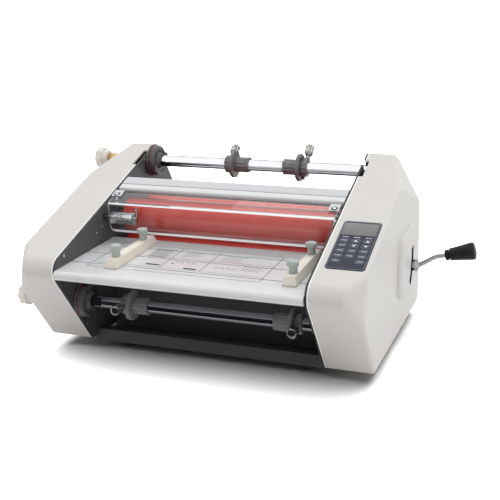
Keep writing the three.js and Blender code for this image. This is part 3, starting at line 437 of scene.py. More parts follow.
for finish, nodes in (
    (PLATE, ("side_plate_left", "side_plate_right")),
    (TRAY, ("base_tray", "bay_wall", "rear_panel")),
    (WHITE, ("feed_table",)),
    (CREAM, ("side_guide_left", "side_guide_right")),
    (NYLON, ("bearing_block_left", "bearing_block_right")),
    (ZINC, ("lower_heat_gear", "upper_heat_gear", "idler_gear", "lower_pull_gear", "motor_pinion",
            "gear_motor", "latch_bracket", "guard_tab_left", "guard_tab_right", "lift_cam_shaft")),
    (KEYPAD, ("keypad_membrane",)),
    (BOARD, ("control_board",)),
    (BLACK, ("power_inlet", "power_rocker")),
    (COVER, ("cover_left", "cover_right")),
):
    for node in nodes:
        dress(node, finish)


def refinish(node, finish, chosen):
    """Gives another finish to the faces of a CAD node for which `chosen(centre, normal)` holds."""
    o = frame["nodes"][node]
    o.data.materials.append(finish)
    to_machine = TO_MACHINE @ o.matrix_world
    turn = o.matrix_world.to_3x3().normalized()
    for face in o.data.polygons:
        if chosen(to_machine @ face.center, turn @ face.normal):
            face.material_index = len(o.data.materials) - 1


LEVER_PIVOT = pivot("pressure_lever_swing")
LEVER_AT = Vector((0, 82.64, 118.01))  # middle of the rod inside the cover


def in_lever_slot(centre, normal):
    """Whether a face of the right cover is a wall of the curved slot that the lever runs in."""
    arm = math.hypot(LEVER_AT.y - LEVER_PIVOT.y, LEVER_AT.z - LEVER_PIVOT.z)
    off = abs(math.hypot(centre.y - LEVER_PIVOT.y, centre.z - LEVER_PIVOT.z) - arm)
    return centre.x > COVER_OUT - 5 and abs(normal.x) < 0.05 and off < 9 and 60 < centre.z < 170


TABLE_TOP = Matrix.Translation(TABLE) @ turn_x(TILT)
SLOT_MIDS = (46, 92.5, 131)  # T-slots, measured back from the table's front edge


def in_table_slot(centre, _normal):
    local = TABLE_TOP.inverted() @ centre
    return -6 < local.z < -0.1 and any(abs(local.y - at) < 5 for at in SLOT_MIDS)


# Painted shade: the walls of the lever's slot are painted near-black.
refinish("cover_right", DARK, in_lever_slot)
# Painted shade: the plates' cut edges are painted near-black.
for side in ("left", "right"):
    refinish(f"side_plate_{side}", PLATE_EDGE_SHADE, lambda _centre, normal: abs(normal.x) < 0.5)
# Painted light: the walls and floors of the table's slots take the pale, faintly glowing lining.
refinish("feed_table", SLOT_GLOW, in_table_slot)


# ------------------------------------------------------------------ bar across the top
BAR_FROM = -33  # y of its front edge


def arc(cu, cv, r, start, stop, steps=10):
    """Points of an arc, in degrees."""
    turns = [math.radians(start + (stop - start) * k / steps) for k in range(steps + 1)]
    return [(cu + r * math.cos(a), cv + r * math.sin(a)) for a in turns]


def top_bar():
    """Extrusion with a rounded rear edge, a groove, and a half-round white lip along the front."""
    low, high = box("top_bar")
    matrix = shift(0, BAR_FROM, slope_z(BAR_FROM) - 0.6) @ turn_x(SLOPE)
    body = [(2, -12), (36.5, -12), *arc(34.9, -3.1, 3.1, 0, 90, 6), (16.4, 0),
            *arc(16.4, -0.7, 0.7, 90, 160, 3), (15.4, -2.6), (2, -2.6)]
    lip = [(0.4, -11.6), (14.8, -11.6), (14.8, -0.5), (12, -0.25), (9, -0.6),
           *arc(5.2, -5.2, 5.0, 72, 180, 14)]
    top = prism(body, low.x, high.x, 0.3, angle=40)
    show("top_bar_extrusion", top, BAR, "frame", matrix, ["top_bar"])
    show("top_bar_lip", prism(lip, low.x, high.x, 0.3, angle=40), WHITE, "frame", matrix)


top_bar()


# ------------------------------------------------------------------ rollers
SLEEVE_HALF = 173  # half the length of a roller's silicone sleeve


def roller(name, body):
    """Steel core with its journals, in a silicone sleeve that is left out of reflections."""
    low, high = box(name)
    centre = (low + high) / 2
    r = (high.z - low.z) / 2
    face = SLEEVE_HALF
    steel = lathe([(low.x, 0), (low.x, 6.6), (low.x + 0.6, 7), (-face - 4, 7), (-face - 4, r - 5),
                   (-face, r - 5), (face, r - 5), (face + 4, r - 5), (face + 4, 7),
                   (high.x - 0.6, 7), (high.x, 6.6), (high.x, 0)])
    sleeve = lathe([(-face, r - 5.2), (-face, r - 0.8), (-face + 0.8, r), (face - 0.8, r),
                    (face, r - 0.8), (face, r - 5.2)], 128)
    matrix = shift(0, centre.y, centre.z)
    core = show(name + "_core", steel, STEEL, body, matrix)
    cover = show(name + "_sleeve", sleeve, SILICONE, body, matrix)
    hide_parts(name)
    cover.visible_glossy = False


for body in ("upper_heat", "lower_heat", "upper_pull", "lower_pull"):
    roller(body + "_roller", body)


# ------------------------------------------------------------------ film supply shafts
SHAFT_R = 9.5
THUMB_REACH = 12.8
CHUCK_ROOT = {"upper": (-31, 76.5), "lower": (-96.5, 147.5)}
THUMB_LEAN = {"upper": (55, 40), "lower": (-85, -89)}
FLAT_LONG = 24.5  # milled flat at the shaft's left end
KNOB_SHORT = 5.5  # how much shorter the tension knobs are than their solids
FLAT = {"upper": (2.5, -45), "lower": (2.6, 14)}  # its depth, and how far above the front it faces


def d_section(radius, depth, facing):
    """Outline of a round bar with one flat, which faces `facing` degrees above the front."""
    points = []
    half = math.acos((radius - depth) / radius)
    middle = math.pi - math.radians(facing)
    steps = 48
    for k in range(steps + 1):
        a = middle + half + (2 * math.pi - 2 * half) * k / steps
        points.append((radius * math.cos(a), radius * math.sin(a)))
    return points


def supply_shaft(level, centre, finish):
    """Round bar with a milled flat at its left end. The flat is black gloss, a painted dark
    reflection.
    """
    low, high = box(f"{level}_supply_shaft")
    depth, facing = FLAT[level]
    start = low.x + FLAT_LONG
    end = prism(d_section(SHAFT_R, depth, facing), low.x, start + 0.05, 0.25, angle=50)
    bar = lathe([(start, 0), (start, SHAFT_R), (high.x - 1, SHAFT_R), (high.x, SHAFT_R - 1),
                 (high.x, 0)], 96)
    outward = Vector((0, -math.cos(math.radians(facing)), math.sin(math.radians(facing))))
    end.normal_update()
    # The flat's faces take the black gloss: painted dark reflection.
    for face in end.faces:
        is_flat = face.normal.dot(outward) > 0.999 and face.calc_area() > 100
        face.material_index = int(is_flat)
    show(f"{level}_shaft_bar", merge(bar, end), [finish, BLACK], f"{level}_supply",
         shift(0, centre.y, centre.z), [f"{level}_supply_shaft"])


def friction_disc(level, centre):
    """Backing plate, red fibre washer, and a dished disc with a short hub and one driving ear."""
    body = f"{level}_supply"
    matrix = shift(0, centre.y, centre.z)
    bore = SHAFT_R + 0.4
    disc = lathe([(-181.4, 0), (-181.4, 24.6), (-180.6, 25.4), (-176, 25.4), (-174, 24.9),
                  (-172.5, 23.6), (-172, 22.6), (-172.2, 21.4), (-173.2, 20.2), (-173.8, 17),
                  (-173, 14.4), (-171.6, 13.4), (-169, 12.5), (-167.7, 11.4), (-167.1, bore),
                  (-174.6, bore), (-174.6, 0)], 96)
    ear = placed(block(-173.6, -166.6, -3.6, 3.6, 14.5, 21.5, 1.4), turn_x(-66))
    backing = lathe([(-186.4, 0), (-186.4, 25.8), (-185.6, 26.8), (-183.6, 26.8), (-182.7, 26),
                     (-182.7, 0)], 96)
    rivets = [placed(lathe([(-174, 0), (-174, 1.9), (-172.9, 1.6), (-172.5, 0)], 20),
                     turn_x(a) @ shift(0, 0, 17.2)) for a in (40, 160, 280)]
    show(f"{level}_disc", merge(disc, backing, ear, *rivets), DISC, body, matrix,
         [f"{level}_friction_disc"])
    stub = lathe([(-251, 0), (-251, 4.6), (-250.6, 5), (-186.6, 5), (-186.6, 0)], 32)
    show(f"{level}_stub_axle", stub, ZINC, body, matrix)
    washer = lathe([(-182.6, 0), (-182.6, 25.9), (-181.5, 25.9), (-181.5, 0)], 96)
    show(f"{level}_washer", washer, RED_RING, body, matrix)


def core_chuck(level, side, root, lean, centre):
    """Chuck for a core: notched collar, round flange with two pegs, and a ribbed split sleeve."""
    body = f"{level}_chuck_{side}"
    bore = SHAFT_R + 0.5
    collar = fluted(15, 1.1, 12, -17, -8.4, 8, 0.5)
    neck = lathe([(-8.6, bore), (-8.6, 12.6), (-6.2, 12.6), (-6.2, bore)])
    flange = lathe([(-6.5, bore), (-6.5, 20.8), (-5.8, 22.2), (-4.9, 22.5), (-1.6, 22.5),
                    (-0.5, 21.9), (0, 20.6), (0, bore)], 96)
    pegs = [placed(lathe([(-9.6, 1.3), (-9.6, 2.5), (-9.1, 3), (-6.3, 3.1), (-6.3, 1.3)], 24),
                   turn_x(turn) @ shift(0, 0, 18.6)) for turn in (55, 235)]
    sleeve = fluted(12.9, 0.9, 12, -0.5, 20.6, 8, 0.35)
    rim = fluted(13.3, 1.2, 6, 20.4, 23.9, 12, 0.4)
    screw_boss = placed(to_z(lathe([(9.8, 0), (9.8, 4.4), (17.2, 4.4), (18.4, 3.9), (18.4, 3.2),
                                    (14, 3.2)], 32)), shift(-THUMB_REACH, 0, 0))
    whole = merge(collar, neck, flange, *pegs, sleeve, rim, screw_boss)
    mirror = Matrix.Scale(-1, 4, (1, 0, 0)) if side == "right" else Matrix.Identity(4)
    matrix = shift(root, centre.y, centre.z) @ turn_x(-lean) @ mirror
    show(f"{level}_core_{side}", whole, CHUCK, body, matrix, [f"{level}_chuck_{side}"])


def thumb_screw(level, side, root, lean, centre):
    """Knurled screw: shank, slotted waist, bead, and a long head with deep flutes and a slot. The
    slot is a thin near-black block on the head's top, painted shade.
    """
    shank = lathe([(10, 0), (10, 2.9), (21.8, 2.9), (22.3, 4.6), (23, 5.2), (23.8, 4.9),
                   (24.3, 3.9), (26.2, 3.9), (26.6, 5), (26.8, 0)], 40)
    beads = fluted(6.4, 0.9, 6, 24.2, 26, 8, 0.3)
    head = fluted(7.6, 1.5, 9, 26.6, 40.6, 10, 0.4)
    top = lathe([(40.4, 0), (40.4, 6.6), (41.4, 5.6), (41.9, 3.4), (42, 0)], 40)
    # Painted shade: the slot is a thin near-black block, not a cut.
    slot_shade_block = block(41.7, 42, -4.6, 4.6, -0.65, 0.65)
    for part in (shank, beads, head, top, slot_shade_block):
        to_z(part)
    reach = -THUMB_REACH if side == "left" else THUMB_REACH
    matrix = shift(root + reach, centre.y, centre.z) @ turn_x(-lean)
    show(f"{level}_thumb_{side}_knurl", merge(shank, beads, head, top), NICKEL,
         f"{level}_thumb_{side}", matrix, [f"{level}_thumb_screw_{side}"])
    show(f"{level}_thumb_{side}_slot", slot_shade_block, DARK, f"{level}_thumb_{side}", matrix)


def tension_end(level, centre):
    """Brass bush and lobed ivory knob outside the left cover."""
    matrix = shift(0, centre.y, centre.z)
    low, high = box(f"{level}_tension_knob")
    bush_low, bush_high = box(f"{level}_tension_bush")
    bush = lathe([(bush_low.x, 5.3), (bush_low.x, 7), (-266, 7), (-266, 8.6), (-265.4, 9),
                  (-202, 9), (-202, 15), (bush_high.x, 15), (bush_high.x, 5.3)])
    show(f"{level}_bush_turned", bush, BRASS, "frame", matrix, [f"{level}_tension_bush"])
    face = low.x + KNOB_SHORT
    grip = fluted(18.4, 1.7, 8, face + 0.4, high.x - 7.4, 12, 1.8)
    neck = lathe([(high.x - 8, 7.4), (high.x - 8, 15.2), (high.x - 6.2, 13.8), (high.x - 1, 13),
                  (high.x, 12), (high.x, 7.4)])
    dish = lathe([(face, 0), (face + 0.3, 9.5), (face - 0.35, 10.5), (face + 0.2, 11.5),
                  (face + 1, 11.5), (face + 1, 0)])
    show(f"{level}_knob_lobed", merge(grip, neck, dish), IVORY, f"{level}_tension", matrix,
         [f"{level}_tension_knob"])


# The lower shaft takes the darker copy of the steel, which is painted shade.
for level, centre, finish in (("upper", UPPER, STEEL), ("lower", LOWER, SHADED_STEEL)):
    centre = Vector((0, centre.y, centre.z))
    supply_shaft(level, centre, finish)
    friction_disc(level, centre)
    tension_end(level, centre)
    for k, side in enumerate(("left", "right")):
        core_chuck(level, side, CHUCK_ROOT[level][k], THUMB_LEAN[level][k], centre)
        thumb_screw(level, side, CHUCK_ROOT[level][k], THUMB_LEAN[level][k], centre)


# ------------------------------------------------------------------ guard, hinge screws and latch
GUARD_HALF = box("guard_shield")[1].x
GUARD_LINE = [(-42, slope_z(-42) - 0.6), (-75.5, slope_z(-75.5) - 0.6), (-70.5, 178)]
GUARD_THICK = 3
GUARD_CORNER = 9  # radius of its lower corners
GUARD_STEP = 1.2  # length of its facets along the section
FOOT_FROST = 2.8  # height of the strip along the lower edge that takes the sawn edges' pale finish and faint painted glow
BEND_HIGHLIGHT = (33.0, 35.6)  # distance of the bend's painted highlight from the sheet's rear edge


def guard():
    """Sheet with a rounded bend, rounded lower corners and pale sawn edges. The sawn edges and a
    strip along the foot glow faintly, which is painted light; a strip on the bend is a painted
    highlight;
    the rear edge beside the top bar is painted near-black as shade.
    """
    path = smooth_path([(0, y, z) for y, z in GUARD_LINE], 6, 8)
    centre_line = []
    for a, b in zip(path, path[1:]):
        count = max(1, round((b - a).length / GUARD_STEP))
        centre_line += [a.lerp(b, k / count) for k in range(count)]
    centre_line.append(path[-1])
    bm = bmesh.new()
    outer, inner = [], []
    total = sum((b - a).length for a, b in zip(centre_line, centre_line[1:]))
    run = 0.0
    runs = []
    for k, p in enumerate(centre_line):
        ahead = centre_line[min(k + 1, len(centre_line) - 1)] - centre_line[max(k - 1, 0)]
        normal = Vector((0, -ahead.z, ahead.y)).normalized()
        if k:
            run += (p - centre_line[k - 1]).length
        runs.append(run)
        left = max(GUARD_CORNER - (total - run), 0)
        pull = GUARD_CORNER - math.sqrt(max(GUARD_CORNER ** 2 - left ** 2, 0))
        half = GUARD_HALF - pull
        for line, q in ((outer, p), (inner, p + normal * GUARD_THICK)):
            line.append([bm.verts.new((x, q.y, q.z)) for x in (-half, half)])
    for k, (a, b) in enumerate(zip(outer, outer[1:])):
        # The foot strip takes the sawn edges' finish; the bend strip is a painted highlight. Both
        # glow faintly, painted light.
        frost_and_highlight = runs[k + 1] > total - FOOT_FROST or BEND_HIGHLIGHT[0] < runs[k] < BEND_HIGHLIGHT[1]
        bm.faces.new((a[0], a[1], b[1], b[0])).material_index = int(frost_and_highlight)
    for a, b in zip(inner, inner[1:]):
        bm.faces.new((a[0], b[0], b[1], a[1]))
    for k in range(len(outer) - 1):
        for side, turn in ((0, 1), (1, -1)):
            face = [outer[k][side], outer[k + 1][side], inner[k + 1][side], inner[k][side]]
            bm.faces.new(face[::turn]).material_index = 1
    # The rear edge is painted near-black as the shade beside the top bar; the foot end takes the
    # sawn edges' finish.
    for k, finish in ((0, 2), (-1, 1)):
        bm.faces.new((outer[k][0], outer[k][1], inner[k][1], inner[k][0])).material_index = finish
    bmesh.ops.recalc_face_normals(bm, faces=bm.faces)
    show("guard_sheet", bm, [CLEAR, SAWN_AND_BEND_GLOW, DARK], "guard", replaces=["guard_shield"])


guard()

for side, sign in (("left", -1), ("right", 1)):
    y = GUARD_LINE[0][0] - 11
    place = shift(sign * 178, y, slope_z(y) + 1.1) @ turn_x(SLOPE)
    seat = to_z(lathe([(0, 2), (0, 4.9), (0.5, 4.9), (0.7, 4.5), (0.7, 2)], 40))
    dome = to_z(lathe([(0.2, 0), (0.2, 3), (1.2, 2.7), (1.9, 1.6), (2.2, 0)], 32))
    show(f"tab_screw_{side}_washer", seat, DARK, "guard", place)
    show(f"tab_screw_{side}", dome, STEEL, "guard", place)


LATCH_Y = -82
LATCH_Z = 205.5


def latch():
    """Bolt with a pointed tip and a bent handle, and its spring."""
    bar = tube(smooth_path([(-186, 0, 0), (-131, 0, 0), (-130, 0, 15)], 3), 2.35, 20)
    tip = lathe([(-186.6, 0), (-186.3, 0.9), (-182.5, 2.2), (-180, 2.6), (-170.6, 2.6), (-170, 2.2),
                 (-170, 0)], 32)
    end = placed(to_z(lathe([(0, 2.3), (0.4, 2.3), (0.9, 1.6), (1, 0)], 20)), shift(-130, 0, 14.2))
    show("latch_bolt_bent", merge(bar, tip, end), CHROME, "latch",
         shift(0, LATCH_Y, LATCH_Z), ["latch_bolt"])
    turns, start, stop, r = 5.5, -169.2, -151.9, 3.75
    coil = []
    for k in range(int(turns * 20) + 1):
        t = k / (turns * 20)
        a = 2 * math.pi * turns * t
        coil.append(Vector((start + (stop - start) * t, r * math.cos(a), r * math.sin(a))))
    spring = show("latch_spring_coil", tube(coil, 0.7, 10), STEEL, "guard",
                  shift(0, LATCH_Y, LATCH_Z), ["latch_spring"])
    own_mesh(spring)


latch()


# ------------------------------------------------------------------ guide knobs
def guide_knob(node, body):
    """Clamp knob: stem and a cupped head with three lobes."""
    low, high = box(node)
    centre = (low + high) / 2
    top = high.z - 0.1
    seat = top - 17.2
    stem = lathe([(seat, 0), (seat, 5.9), (seat + 1, 6.1), (top - 10, 5.6), (top - 7.4, 7.2),
                  (top - 6.6, 0)], 48)
    cup = fluted(9.2, 2.3, 3, top - 7.4, top - 0.5, 24, 0.8)
    rim = lathe([(top - 0.9, 7.2), (top - 0.3, 7), (top, 6.4), (top - 0.4, 5.6), (top - 2.4, 4.6),
                 (top - 2.6, 0)], 48)
    whole = merge(stem, cup)
    to_z(whole)
    to_z(rim)
    matrix = shift(centre.x, centre.y, 0)
    show(node + "_head", merge(whole, rim), GREY, body, matrix, [node])


for side in ("left", "right"):
    for end in ("front", "rear"):
        guide_knob(f"guide_knob_{side}_{end}", f"knob_{side}_{end}")


# ------------------------------------------------------------------ pressure lever
LEVER_RUNS = [(246, 0), (280, 0), (305, 16.5), (342, 25.8)]


def lever():
    """Bent rod with a nut and a boss, and a turned grip."""
    matrix = shift(0, LEVER_AT.y, LEVER_AT.z)
    rod = tube(smooth_path([(x, 0, z) for x, z in LEVER_RUNS], 7), 3.75, 32)
    hexagon = [(9.2 * math.cos(math.radians(a)), 9.2 * math.sin(math.radians(a)))
               for a in range(10, 370, 60)]
    nut = prism(hexagon, 270.2, 277.4, 0.7)
    boss = lathe([(277.2, 0), (277.2, 6.6), (279.6, 6), (281, 4.6), (281, 0)], 40)
    show("lever_rod_bent", merge(rod, nut, boss), CHROME, "pressure_lever", matrix,
         ["lever_rod"])
    (x0, z0), (x1, z1) = LEVER_RUNS[-2:]
    lean = math.degrees(math.atan2(z1 - z0, x1 - x0))
    grip = lathe([(-22, 3.9), (-22, 7.4), (-21.2, 8.6), (-19.5, 9), (-17.6, 8.8), (-16.6, 7.6),
                  (-15.6, 7.6), (-14.8, 9.2), (-13.6, 10.1), (-12.8, 10.1), (0, 11.4), (14, 13.4),
                  (20, 14.1), (22.4, 13.9), (24, 12.5), (25, 9.8), (25.5, 6), (25.6, 0)], 96)
    place = matrix @ shift(x1, 0, z1) @ Matrix.Rotation(math.radians(-lean), 4, "Y")
    show("lever_grip_turned", grip, BLACK, "pressure_lever", place, ["lever_grip"])


lever()


# ------------------------------------------------------------------ feet
for node in ("foot_front_left", "foot_front_right", "foot_rear_left", "foot_rear_right"):
    low, high = box(node)
    centre = (low + high) / 2
    foot = to_z(lathe([(0, 0), (0, 12.6), (0.8, 14), (2, 14.8), (3.4, 15), (8.6, 14.2), (9.4, 13.4),
                       (9.8, 11.6), (high.z, 10.4), (high.z, 0)], 64))
    show(node + "_moulded", foot, RUBBER, "frame", shift(centre.x, centre.y, 0), [node])


# ------------------------------------------------------------------ keypad print and display
PAD_MID = (KEYPAD_LOW + KEYPAD_HIGH) / 2
PAD_LONG = 113.8
PAD_WIDE = KEYPAD_HIGH.x - KEYPAD_LOW.x
PAD = shift(PAD_MID.x, -133.6, slope_z(-133.6)) @ turn_x(SLOPE)


def rounded_outline(half_w, half_h, r, steps=5):
    points = []
    for cx, cy, start in ((half_w - r, half_h - r, 0), (r - half_w, half_h - r, 90),
                          (r - half_w, r - half_h, 180), (half_w - r, r - half_h, 270)):
        for k in range(steps + 1):
            a = math.radians(start + 90 * k / steps)
            points.append((cx + r * math.cos(a), cy + r * math.sin(a)))
    return points


def flat(outline, z0, z1, hole=None):
    """A flat plate or, with a hole of as many points, a flat ring, in the x, y plane."""
    bm = bmesh.new()
    rings = [[bm.verts.new((x, y, z)) for x, y in outline] for z in (z0, z1)]
    n = len(outline)
    if hole:
        rings += [[bm.verts.new((x, y, z)) for x, y in hole] for z in (z1, z0)]
        order = list(zip(rings, rings[1:] + rings[:1]))
    else:
        order = [(rings[0], rings[1])]
        bm.faces.new(rings[0][::-1])
        bm.faces.new(rings[1])
    for a, b in order:
        for k in range(n):
            bm.faces.new((a[k], a[(k + 1) % n], b[(k + 1) % n], b[k]))
    bmesh.ops.recalc_face_normals(bm, faces=bm.faces)
    return bm


PRINT_LOW, PRINT_HIGH = 0.98, 1.12  # above the cover's face


def key_ring(x, y):
    return placed(flat(rounded_outline(5.8, 3.9, 2.2), PRINT_LOW, PRINT_HIGH,
                       rounded_outline(5.35, 3.45, 1.8)), shift(x, y, 0))


def arrow(x, y, up):
    s = 1 if up else -1
    corners = [(x - 3.6, y - 1.9 * s), (x + 3.6, y - 1.9 * s), (x, y + 2.3 * s)]
    return flat(corners[::s], PRINT_LOW, PRINT_HIGH)


def dash(x, y, half_w, half_h):
    return placed(flat(rounded_outline(half_w, half_h, min(half_w, half_h) * 0.6, 2), PRINT_LOW,
                       PRINT_HIGH), shift(x, y, 0))


def keypad_print():
    """Key outlines, arrows and plain dashes in place of the lettering."""
    marks, rings = [], []
    columns = (-16.5, 0, 16.5)
    rows = (21.5, 9.5, -2.5, -14.5, -26.5)
    for r, y in enumerate(rows):
        for c, x in enumerate(columns):
            if r == 4 and c == 1:
                continue
            rings.append(key_ring(x, y))
            if c and r < 2:
                marks.append(arrow(x, y, up=r == 0))
            else:
                for k, half in ((-1, 1.1), (0.1, 0.9), (1.1, 1.0)):
                    marks.append(dash(x + 2.4 * k, y, half, 0.85))
    for x in columns:
        for k, half in ((-1, 1.2), (0, 0.9), (1, 1.2)):
            marks.append(dash(x + 2.9 * k, 29.6, half, 0.8))
    show("keypad_marks", merge(*marks), PRINT, "frame", PAD @ shift(0, -12, 0))
    show("keypad_key_outlines", merge(*rings), FAINT, "frame", PAD @ shift(0, -12, 0))
    outside = rounded_outline(PAD_WIDE / 2 - 1.2, PAD_LONG / 2 - 1.2, 4)
    inside = rounded_outline(PAD_WIDE / 2 - 1.7, PAD_LONG / 2 - 1.7, 3.6)
    line = flat(outside, PRINT_LOW, PRINT_HIGH - 0.06, inside)
    show("keypad_border", line, FAINT, "frame", PAD)
    pane = placed(flat(rounded_outline(24.6, 15.2, 1.2), PRINT_LOW, 1.35), shift(-0.3, 37.4, 0))
    show("display_pane", soften(pane, 0.2), WINDOW, "frame", PAD)


keypad_print()


# ------------------------------------------------------------------ printed card on the feed table
def table_print():
    """Plain ruled card: lines, dark bars and rows of small strokes in place of instructions."""
    low, high = 0.02, 0.09
    dark, pale = [], []

    def bar(group, x0, x1, y0, y1):
        group.append(flat([(x0, y0), (x1, y0), (x1, y1), (x0, y1)], low, high))

    for x in (-48, 15):
        bar(pale, x - 0.6, x + 0.6, 53, 141)
    for x in (-154, 112):
        bar(pale, x - 0.6, x + 0.6, 34, 146)
    for y in (34, 53.5, 100, 146):
        bar(pale, -154, 112, y - 0.5, y + 0.5)
    bar(dark, -74, -52, 62, 67)
    bar(dark, -12, 8, 57, 62)
    for k in range(9):
        y = 132 - 4.4 * k
        for x in range(-88, -54 - 4 * (k % 3), 5):
            bar(pale, x + 1.5 * (k % 2), x + 3.9, y, y + 2.1)
    for k in range(4):
        for x in range(-36, -6 - 5 * (k % 2), 5):
            bar(pale, x, x + 3.4, 128 - 6 * k, 129.6 - 6 * k)
        for x in range(28, 62 - 4 * (k % 3), 6):
            bar(pale, x, x + 3.8, 126 - 7 * k, 127.7 - 7 * k)
        for x in range(70, 104 - 5 * (k % 2), 6):
            bar(pale, x, x + 4, 90 - 6 * k, 91.6 - 6 * k)
        bar(pale, 30 + 9 * k, 36 + 9 * k, 74 - 2 * (k % 2), 76 - 2 * (k % 2))
        bar(pale, -36 + 9 * k, -30 + 9 * k, 84 - 3 * (k % 2), 86 - 3 * (k % 2))
    bar(dark, -38, -35, 74, 78)
    show("table_bars", merge(*dark), INK, "frame", TABLE_TOP)
    show("table_rules", merge(*pale), PALE_INK, "frame", TABLE_TOP)


table_print()


# ------------------------------------------------------------------ screws and holes
def plate_fixings():
    """Screw heads and small holes on the inner faces of the side plates. The holes are thin
    near-black discs, painted shade.
    """
    heads = ((63.4, 269.8, 2.4), (-204.4, 174.6, 2.6), (-108.5, 184.6, 1.7), (-90.6, 190.4, 1.7),
             (138.8, 230.1, 1.4), (-152.8, 51.1, 1.6), (-104.6, 37, 1.6), (-189.4, 129.7, 1.6))
    holes = ((43.7, 261.1, 2.2), (65.4, 253.9, 2.2), (120, 238, 2.0))
    for side, sign in (("left", 1), ("right", -1)):
        parts = [placed(screw_head(r, 0.9), shift(0, y, z)) for y, z, r in heads]
        flip = Matrix.Scale(sign, 4, (1, 0, 0))
        matrix = shift(-sign * PLATE_IN, 0, 0) @ flip
        show(f"plate_screws_{side}", merge(*parts), ZINC, "frame", matrix)
        # Painted shade: each hole is a thin near-black disc.
        dots = [placed(lathe([(0, 0), (0, r), (0.12, r), (0.12, 0)], 24), shift(0, y, z))
                for y, z, r in holes]
        show(f"plate_holes_{side}", merge(*dots), DARK, "frame", matrix)


plate_fixings()


def surface_under(node, x, y, z):
    """Height of a CAD node's surface straight below a point."""
    o = frame["nodes"][node]
    inverse = o.matrix_world.inverted()
    start = inverse @ (TO_ROW @ Vector((x, y, z)))
    down = inverse.to_3x3() @ Vector((0, 0, -1))
    hit, where, _, _ = o.ray_cast(start, down)
    return (TO_MACHINE @ o.matrix_world @ where).z if hit else None


def tray_screws():
    """Four screws with washers in the tray's floor."""
    parts = []
    for x in (-150, 150):
        for y in (-85, 60):
            z = surface_under("base_tray", x, y, 110)
            parts.append(placed(to_z(screw_head(4, 2.4)), shift(x, y, z)))
            washer = lathe([(0, 0), (0, 6), (0.7, 5.8), (0.8, 0)], 40)
            parts.append(placed(to_z(washer), shift(x, y, z)))
    show("tray_screws", merge(*parts), ZINC, "frame")


tray_screws()


# ------------------------------------------------------------------ floor, light and camera
FLOOR_DROP = 0.5 * MM  # the floors lie just below the feet, one under the other
FLOOR_HALF = 200  # metres
TENT_RADIUS = 6.0  # metres
TENT_FROM = -3  # degrees above level where the tent starts
TENT_LEVEL = 1.1
CARDS = {"black_card": {"x": (-300, 300), "y": (-272, -271), "z": (3, 165)},
         "back_card": {"x": (-172, 186), "y": (160, 161), "z": (262, 330)}}


def prop(name, bm, finish, hidden_from):
    """A thing of the studio, which the rays named in `hidden_from` don't see."""
    mesh = bpy.data.meshes.new(name)
    bm.to_mesh(mesh)
    bm.free()
    mesh.materials.append(finish)
    o = bpy.data.objects.new(name, mesh)
    for ray in hidden_from:
        setattr(o, f"visible_{ray}", False)
    bpy.context.scene.collection.objects.link(o)
    return o


def plane(size):
    bm = bmesh.new()
    bmesh.ops.create_grid(bm, x_segments=2, y_segments=2, size=size)
    return bm


def stage():
    """Pale floor, the same floor again for the light it throws back, a tent and two dark cards.

    The floor that shows has a light of its own, which makes its shadow tight."""
    paint = material("floor_paint", (0.93, 0.93, 0.93), 0.6, grain=0.02, grain_size=5, mottle=0.004,
                     mottle_size=900)
    dim_paint = material("floor_dim_paint", (0.36, 0.36, 0.36), 0.8, grain=0.02, grain_size=5,
                         mottle=0.004, mottle_size=900, Specular_IOR_Level=0.0)
    shown = prop("floor", plane(FLOOR_HALF), dim_paint,
                 ("diffuse", "glossy", "shadow", "transmission"))
    shown.location.z = -FLOOR_DROP
    thrower = prop("floor_bounce", plane(FLOOR_HALF), paint, ("camera",))
    thrower.location.z = -3 * FLOOR_DROP

    bm = bmesh.new()
    bmesh.ops.create_uvsphere(bm, u_segments=48, v_segments=24, radius=TENT_RADIUS)
    low = [v for v in bm.verts if v.co.z < TENT_RADIUS * math.sin(math.radians(TENT_FROM))]
    bmesh.ops.delete(bm, geom=low, context="VERTS")
    cloth = material("tent_cloth", (0, 0, 0), 1, Specular_IOR_Level=0.0,
                     Emission_Color=(1, 1, 1, 1), Emission_Strength=TENT_LEVEL)
    prop("tent", bm, cloth, ("diffuse", "shadow", "transmission"))

    for name, at in CARDS.items():
        card = placed(block(*at["x"], *at["y"], *at["z"]), TO_ROW)
        prop(name, card, DARK, ("camera", "diffuse", "shadow", "transmission"))
    return shown


def soft_sun(name, energy, angle, come_from, only=None):
    """A sun `angle` degrees wide, which may shine on one thing only."""
    sun = bpy.data.lights.new(name, "SUN")
    sun.energy = energy
    sun.angle = math.radians(angle)
    o = bpy.data.objects.new(name, sun)
    o.rotation_euler = (-Vector(come_from)).to_track_quat("-Z", "Y").to_euler()
    bpy.context.scene.collection.objects.link(o)
    if only:
        receivers = bpy.data.collections.new(name + "_receivers")
        receivers.objects.link(only)
        o.light_linking.receiver_collection = receivers


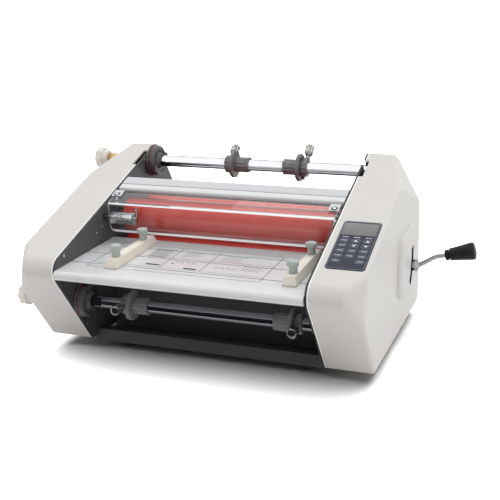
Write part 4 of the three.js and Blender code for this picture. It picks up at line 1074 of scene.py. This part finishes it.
def lights(floor):
    """Studio: bright above and behind, dim in front and low down, and a soft light from above."""
    world = bpy.data.worlds.new("studio")
    world.use_nodes = True
    nodes, links = world.node_tree.nodes, world.node_tree.links
    place = nodes.new("ShaderNodeTexCoord")
    height = nodes.new("ShaderNodeVectorMath")
    height.operation = "DOT_PRODUCT"
    height.inputs[1].default_value = BRIGHT_SIDE
    links.new(place.outputs["Generated"], height.inputs[0])
    ramp = nodes.new("ShaderNodeValToRGB")
    ramp.color_ramp.interpolation = "EASE"
    stops = ramp.color_ramp.elements
    for k, (at, color) in enumerate(SKY):
        stop = stops[k] if k < len(stops) else stops.new(at)
        stop.position = at
        stop.color = (*color, 1)
    half = nodes.new("ShaderNodeMath")
    half.operation = "MULTIPLY_ADD"
    half.inputs[1].default_value = 0.5
    half.inputs[2].default_value = 0.5
    links.new(height.outputs["Value"], half.inputs[0])
    links.new(half.outputs[0], ramp.inputs["Fac"])
    background = nodes["Background"]
    links.new(ramp.outputs["Color"], background.inputs["Color"])
    background.inputs["Strength"].default_value = 1.0
    bpy.context.scene.world = world
    soft_sun("top_soft", TOP_LIGHT, 70, TOP_FROM)
    soft_sun("floor_soft", FLOOR_LIGHT, 75, FLOOR_FROM, floor)


BRIGHT_SIDE = (0.15, 0.34, 0.93)  # the direction that the sky's first to last colours lead to
TOP_LIGHT, TOP_FROM = 1.5, (0.1, 0.25, 1.0)
FLOOR_LIGHT, FLOOR_FROM = 20, (-0.12, -0.12, 1)
SKY = ((0.0, (0.27, 0.25, 0.243)), (0.45, (0.32, 0.297, 0.288)), (0.6, (0.56, 0.545, 0.535)),
       (0.8, (0.79, 0.80, 0.795)), (1.0, (0.79, 0.80, 0.795)))
CAMERA = {"at": (510.4, -1277.1, 535.3), "azimuth": 20.79, "down": 15.95, "roll": 1.04,
          "focal_pixels": 893.3, "frame_pixels": 500}


def camera():
    data = bpy.data.cameras.new("camera")
    data.sensor_width = 36
    data.lens = CAMERA["focal_pixels"] / CAMERA["frame_pixels"] * data.sensor_width
    o = bpy.data.objects.new("camera", data)
    o.location = TO_ROW @ Vector(CAMERA["at"])
    azimuth, down = math.radians(CAMERA["azimuth"]), math.radians(CAMERA["down"])
    ahead = Vector((-math.sin(azimuth) * math.cos(down), math.cos(azimuth) * math.cos(down),
                    -math.sin(down)))
    turn = Matrix.Rotation(math.radians(CAMERA["roll"]), 3, ahead)
    look = ahead.to_track_quat("-Z", "Y").to_matrix()
    o.rotation_euler = (turn @ look).to_euler()
    bpy.context.scene.collection.objects.link(o)
    bpy.context.scene.camera = o


lights(stage())
camera()
scene = bpy.context.scene
scene.view_settings.view_transform = "Standard"
scene.view_settings.look = "None"

bpy.context.view_layer.update()
